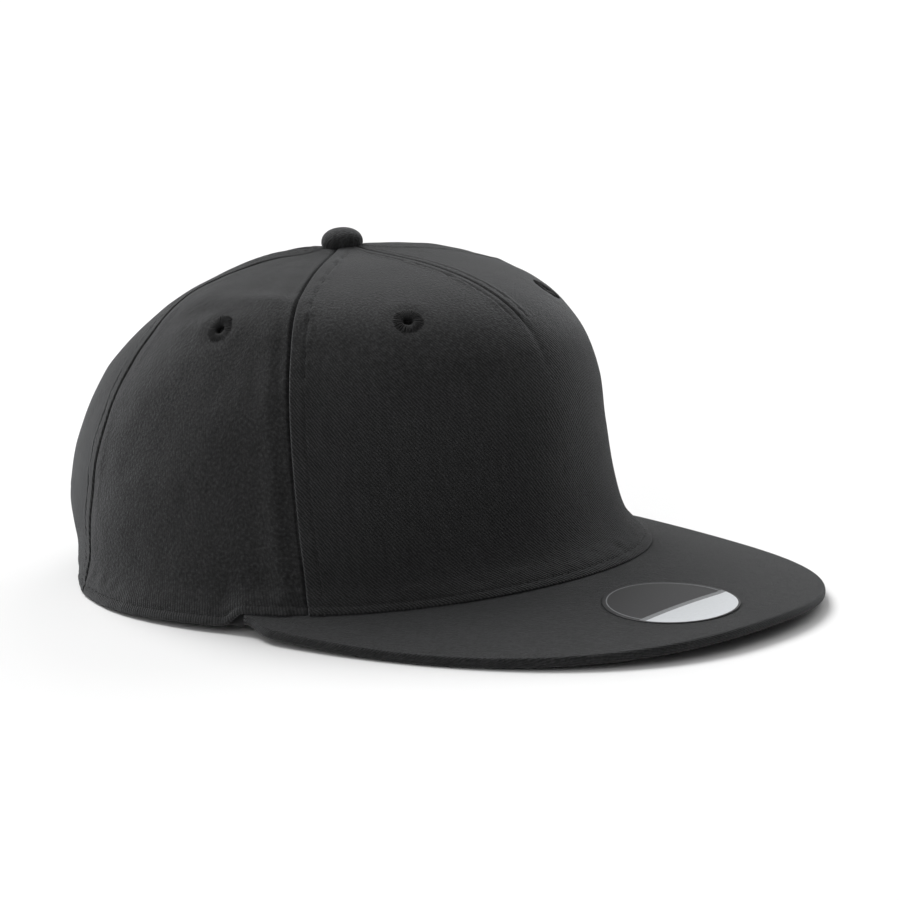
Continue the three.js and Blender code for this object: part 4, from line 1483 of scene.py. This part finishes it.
def build_camera():
    turn, rise, roll = (math.radians(a) for a in (CAMERA_TURN, CAMERA_RISE, CAMERA_ROLL))
    right = Vector((math.cos(turn), -math.sin(turn), 0))
    back = Vector((-math.sin(turn) * math.cos(rise), -math.cos(turn) * math.cos(rise),
                   math.sin(rise)))
    up = back.cross(right)
    level_right = right * math.cos(roll) - up * math.sin(roll)
    level_up = right * math.sin(roll) + up * math.cos(roll)
    forward = (-back + level_right * AIM_RIGHT - level_up * AIM_DOWN).normalized()
    side = (level_right - forward * level_right.dot(forward)).normalized()
    over = side.cross(forward)
    data = bpy.data.cameras.new("camera")
    data.lens = CAMERA_LENS
    data.sensor_width = 36.0
    data.clip_start = 0.05
    data.clip_end = 100.0
    camera = bpy.data.objects.new("camera", data)
    place = Matrix((side, over, -forward)).transposed().to_4x4()
    target = Vector((0, AXIS_Y, TARGET_HEIGHT)) * METRES
    place.translation = target + back * CAMERA_DISTANCE * METRES
    camera.matrix_world = place
    bpy.context.scene.collection.objects.link(camera)
    bpy.context.scene.camera = camera


# Settings that a user may change

class CapTwillSettings(bpy.types.PropertyGroup):
    """Colour and weave of the twill"""
    colour: FloatVectorProperty(
        name="Colour", description="Colour of the twill", subtype="COLOR", size=3, min=0, max=1,
        default=(0.0172, 0.0172, 0.0176))
    rib_pitch: FloatProperty(
        name="Rib pitch", description="Distance from one twill line to the next",
        default=0.0009, min=0.0003, unit="LENGTH", precision=5)
    rib_angle: FloatProperty(
        name="Rib angle", description="Slope of the twill lines below level",
        default=math.radians(52), subtype="ANGLE")
    sheen: FloatProperty(
        name="Sheen", description="How much the cloth's fibres catch light at its edges",
        default=0.19, min=0, max=1, subtype="FACTOR")


class CapSeamSettings(bpy.types.PropertyGroup):
    """Seams between the crown's panels"""
    depth: FloatProperty(
        name="Seam depth", description="How deep the cloth turns in at a seam",
        default=0.0014, min=0, unit="LENGTH", precision=5)
    row_distance: FloatProperty(
        name="Row distance", description="Distance of a row of stitches from its seam",
        default=0.0054, min=0.001, unit="LENGTH", precision=5)


class CapStitchSettings(bpy.types.PropertyGroup):
    """Size and colour of the sewing thread"""
    length: FloatProperty(
        name="Stitch length", description="Length of one stitch that shows",
        default=0.0026, min=0.001, unit="LENGTH", precision=5)
    gap: FloatProperty(
        name="Stitch gap", description="Gap between two stitches",
        default=0.0007, min=0.0001, unit="LENGTH", precision=5)
    thread: FloatProperty(
        name="Thread width", description="Width of the sewing thread",
        default=0.00045, min=0.0001, unit="LENGTH", precision=5)
    colour: FloatVectorProperty(
        name="Colour", description="Colour of the thread", subtype="COLOR", size=3, min=0,
        max=1, default=(0.0115, 0.0115, 0.012))


class CapLabelSettings(bpy.types.PropertyGroup):
    """Plain round label on the peak"""
    width: FloatProperty(
        name="Width", description="Width of the round label", default=0.044, min=0.005,
        unit="LENGTH")
    split: FloatProperty(
        name="Split", description="How far ahead of its middle the light part starts",
        default=0.0062, unit="LENGTH", precision=5)
    stripe: FloatProperty(
        name="Stripe", description="Width of the grey stripe beside the light part",
        default=0.0022, min=0, unit="LENGTH", precision=5)
    rim: FloatProperty(
        name="Rim", description="Width of the dark rim", default=0.0007, min=0,
        unit="LENGTH", precision=5)
    light_colour: FloatVectorProperty(
        name="Light colour", description="Colour of the light part", subtype="COLOR", size=3,
        min=0, max=1, default=(0.62, 0.64, 0.66))
    dark_colour: FloatVectorProperty(
        name="Dark colour", description="Colour of the dark part", subtype="COLOR", size=3,
        min=0, max=1, default=(0.02, 0.02, 0.022))


class CapStageSettings(bpy.types.PropertyGroup):
    """Lights of the studio"""
    above: FloatProperty(
        name="Light from above", description="Strength of the even light overhead",
        default=0.78, min=0)
    level: FloatProperty(
        name="Level light", description="Strength of the even light from the sides",
        default=0.05, min=0)
    top: FloatProperty(
        name="Top light", description="Strength of the light from above and behind",
        default=2.9, min=0)
    left: FloatProperty(
        name="Left light", description="Strength of the light from the wearer's right",
        default=0.62, min=0)
    right: FloatProperty(
        name="Right light", description="Strength of the light from the wearer's left",
        default=0.95, min=0)


# Operators

class CapPanelsOperator(bpy.types.Operator):
    """Builds the five twill panels of the crown"""
    bl_idname = "cap.add_panels"
    bl_label = "Crown panels"

    def execute(self, context):
        twill = material("black_cotton_twill", twill_material)
        for name, panel in PANELS.items():
            piece = build_panel(name, panel, twill)
            low, high = panel["from"](0.5), panel["to"](0.5)
            for azimuth, place in EYELETS.values():
                if low < azimuth < high:
                    pierce(piece, azimuth, place, EYELET_HOLE)
        return {"FINISHED"}


class CapPeakOperator(bpy.types.Operator):
    """Builds the cloth-covered peak"""
    bl_idname = "cap.add_peak"
    bl_label = "Peak"

    def execute(self, context):
        build_peak(material("black_cotton_twill", twill_material))
        return {"FINISHED"}


class CapButtonOperator(bpy.types.Operator):
    """Builds the covered button on top"""
    bl_idname = "cap.add_button"
    bl_label = "Button"

    def execute(self, context):
        build_button(material("black_cotton_twill", twill_material))
        return {"FINISHED"}


class CapEyeletsOperator(bpy.types.Operator):
    """Builds the four embroidered eyelets"""
    bl_idname = "cap.add_eyelets"
    bl_label = "Eyelets"

    def execute(self, context):
        cloth = Cloth([f"panel_{name}" for name in PANELS])
        dice = np.random.default_rng(21)
        thread = material("black_sewing_thread", thread_material)
        for name, (azimuth, place) in EYELETS.items():
            build_eyelet(name, azimuth, place, cloth, thread, dice)
        return {"FINISHED"}


class CapStitchesOperator(bpy.types.Operator):
    """Sews the rows of stitches on the crown"""
    bl_idname = "cap.add_stitches"
    bl_label = "Stitches"

    def execute(self, context):
        cloth = Cloth([f"panel_{name}" for name in PANELS])
        thread = material("black_sewing_thread", thread_material)
        aside = context.scene.cap_seams.row_distance / METRES
        rows = [
            seam_line(SEAMS["front_right"], aside, ROWS_START, ROWS_END),
            seam_line(SEAMS["front_left"], -aside, ROWS_START, ROWS_END),
            seam_line(SEAMS["side_left"], aside, ROWS_START, ROWS_END),
            seam_line(SEAMS["side_right"], -aside, ROWS_START, ROWS_END),
            seam_line(SEAMS["back"], -aside, ARCH_TOP + 0.04, ROWS_END),
        ]
        add_rows("seam_stitches", rows, cloth, thread, 61)
        rows = [seam_line(SEAMS["dart"], side, DART_END + 0.02, DART_ROWS_END)
                for side in (-DART_ROW, DART_ROW)]
        add_rows("dart_stitches", rows, cloth, thread, 62)
        end = 180 - ARCH_HALF_ANGLE - 1.5
        rows = [hem_line(-end, end, HEM_ROW), arch_line(HEM_ROW)]
        add_rows("hem_stitches", rows, cloth, thread, 63)
        return {"FINISHED"}


class CapSweatbandOperator(bpy.types.Operator):
    """Builds the sweatband inside the hem"""
    bl_idname = "cap.add_sweatband"
    bl_label = "Sweatband"

    def execute(self, context):
        build_sweatband(material("black_band_cloth", band_material))
        return {"FINISHED"}


class CapStrapOperator(bpy.types.Operator):
    """Builds the two strips of the snap strap"""
    bl_idname = "cap.add_strap"
    bl_label = "Snap strap"

    def execute(self, context):
        build_strap(material("black_strap_plastic", plastic_material))
        return {"FINISHED"}


class CapLabelOperator(bpy.types.Operator):
    """Builds the plain round label on the peak"""
    bl_idname = "cap.add_label"
    bl_label = "Label"

    def execute(self, context):
        build_label(material("two_tone_label_film", label_material))
        return {"FINISHED"}


class CapStageOperator(bpy.types.Operator):
    """Builds the floor, the lights and the camera"""
    bl_idname = "cap.add_stage"
    bl_label = "Stage"

    def execute(self, context):
        stage = context.scene.cap_stage
        context.scene.view_settings.view_transform = "Standard"
        build_floor()
        build_world(stage.above, stage.level)
        for name, (direction, spread) in SUNS.items():
            sun(f"{name}_light", direction, getattr(stage, name), spread)
        build_camera()
        return {"FINISHED"}


class CapSidebarPanel(bpy.types.Panel):
    """Lists the cap's pieces and sizes"""
    bl_idname = "VIEW3D_PT_cap"
    bl_label = "Cap"
    bl_space_type = "VIEW_3D"
    bl_region_type = "UI"
    bl_category = "Cap"

    def draw(self, context):
        for operator in OPERATORS:
            self.layout.operator(operator.bl_idname)
        for name in SETTINGS:
            box = self.layout.box()
            group = getattr(context.scene, name)
            for key in group.__annotations__:
                box.prop(group, key)


OPERATORS = (CapPanelsOperator, CapPeakOperator, CapButtonOperator, CapEyeletsOperator,
             CapStitchesOperator, CapSweatbandOperator, CapStrapOperator, CapLabelOperator,
             CapStageOperator)
SETTINGS = {
    "cap_twill": CapTwillSettings,
    "cap_seams": CapSeamSettings,
    "cap_stitches": CapStitchSettings,
    "cap_label": CapLabelSettings,
    "cap_stage": CapStageSettings,
}


def register():
    for name, group in SETTINGS.items():
        bpy.utils.register_class(group)
        setattr(bpy.types.Scene, name, PointerProperty(type=group))
    for made in OPERATORS + (CapSidebarPanel,):
        bpy.utils.register_class(made)


def unregister():
    for made in reversed(OPERATORS + (CapSidebarPanel,)):
        bpy.utils.unregister_class(made)
    for name, group in reversed(SETTINGS.items()):
        delattr(bpy.types.Scene, name)
        bpy.utils.unregister_class(group)


def main():
    register()
    bpy.ops.cap.add_panels()
    bpy.ops.cap.add_peak()
    bpy.ops.cap.add_button()
    bpy.ops.cap.add_eyelets()
    bpy.ops.cap.add_stitches()
    bpy.ops.cap.add_sweatband()
    bpy.ops.cap.add_strap()
    bpy.ops.cap.add_label()
    bpy.ops.cap.add_stage()


if __name__ == "__main__":
    main()
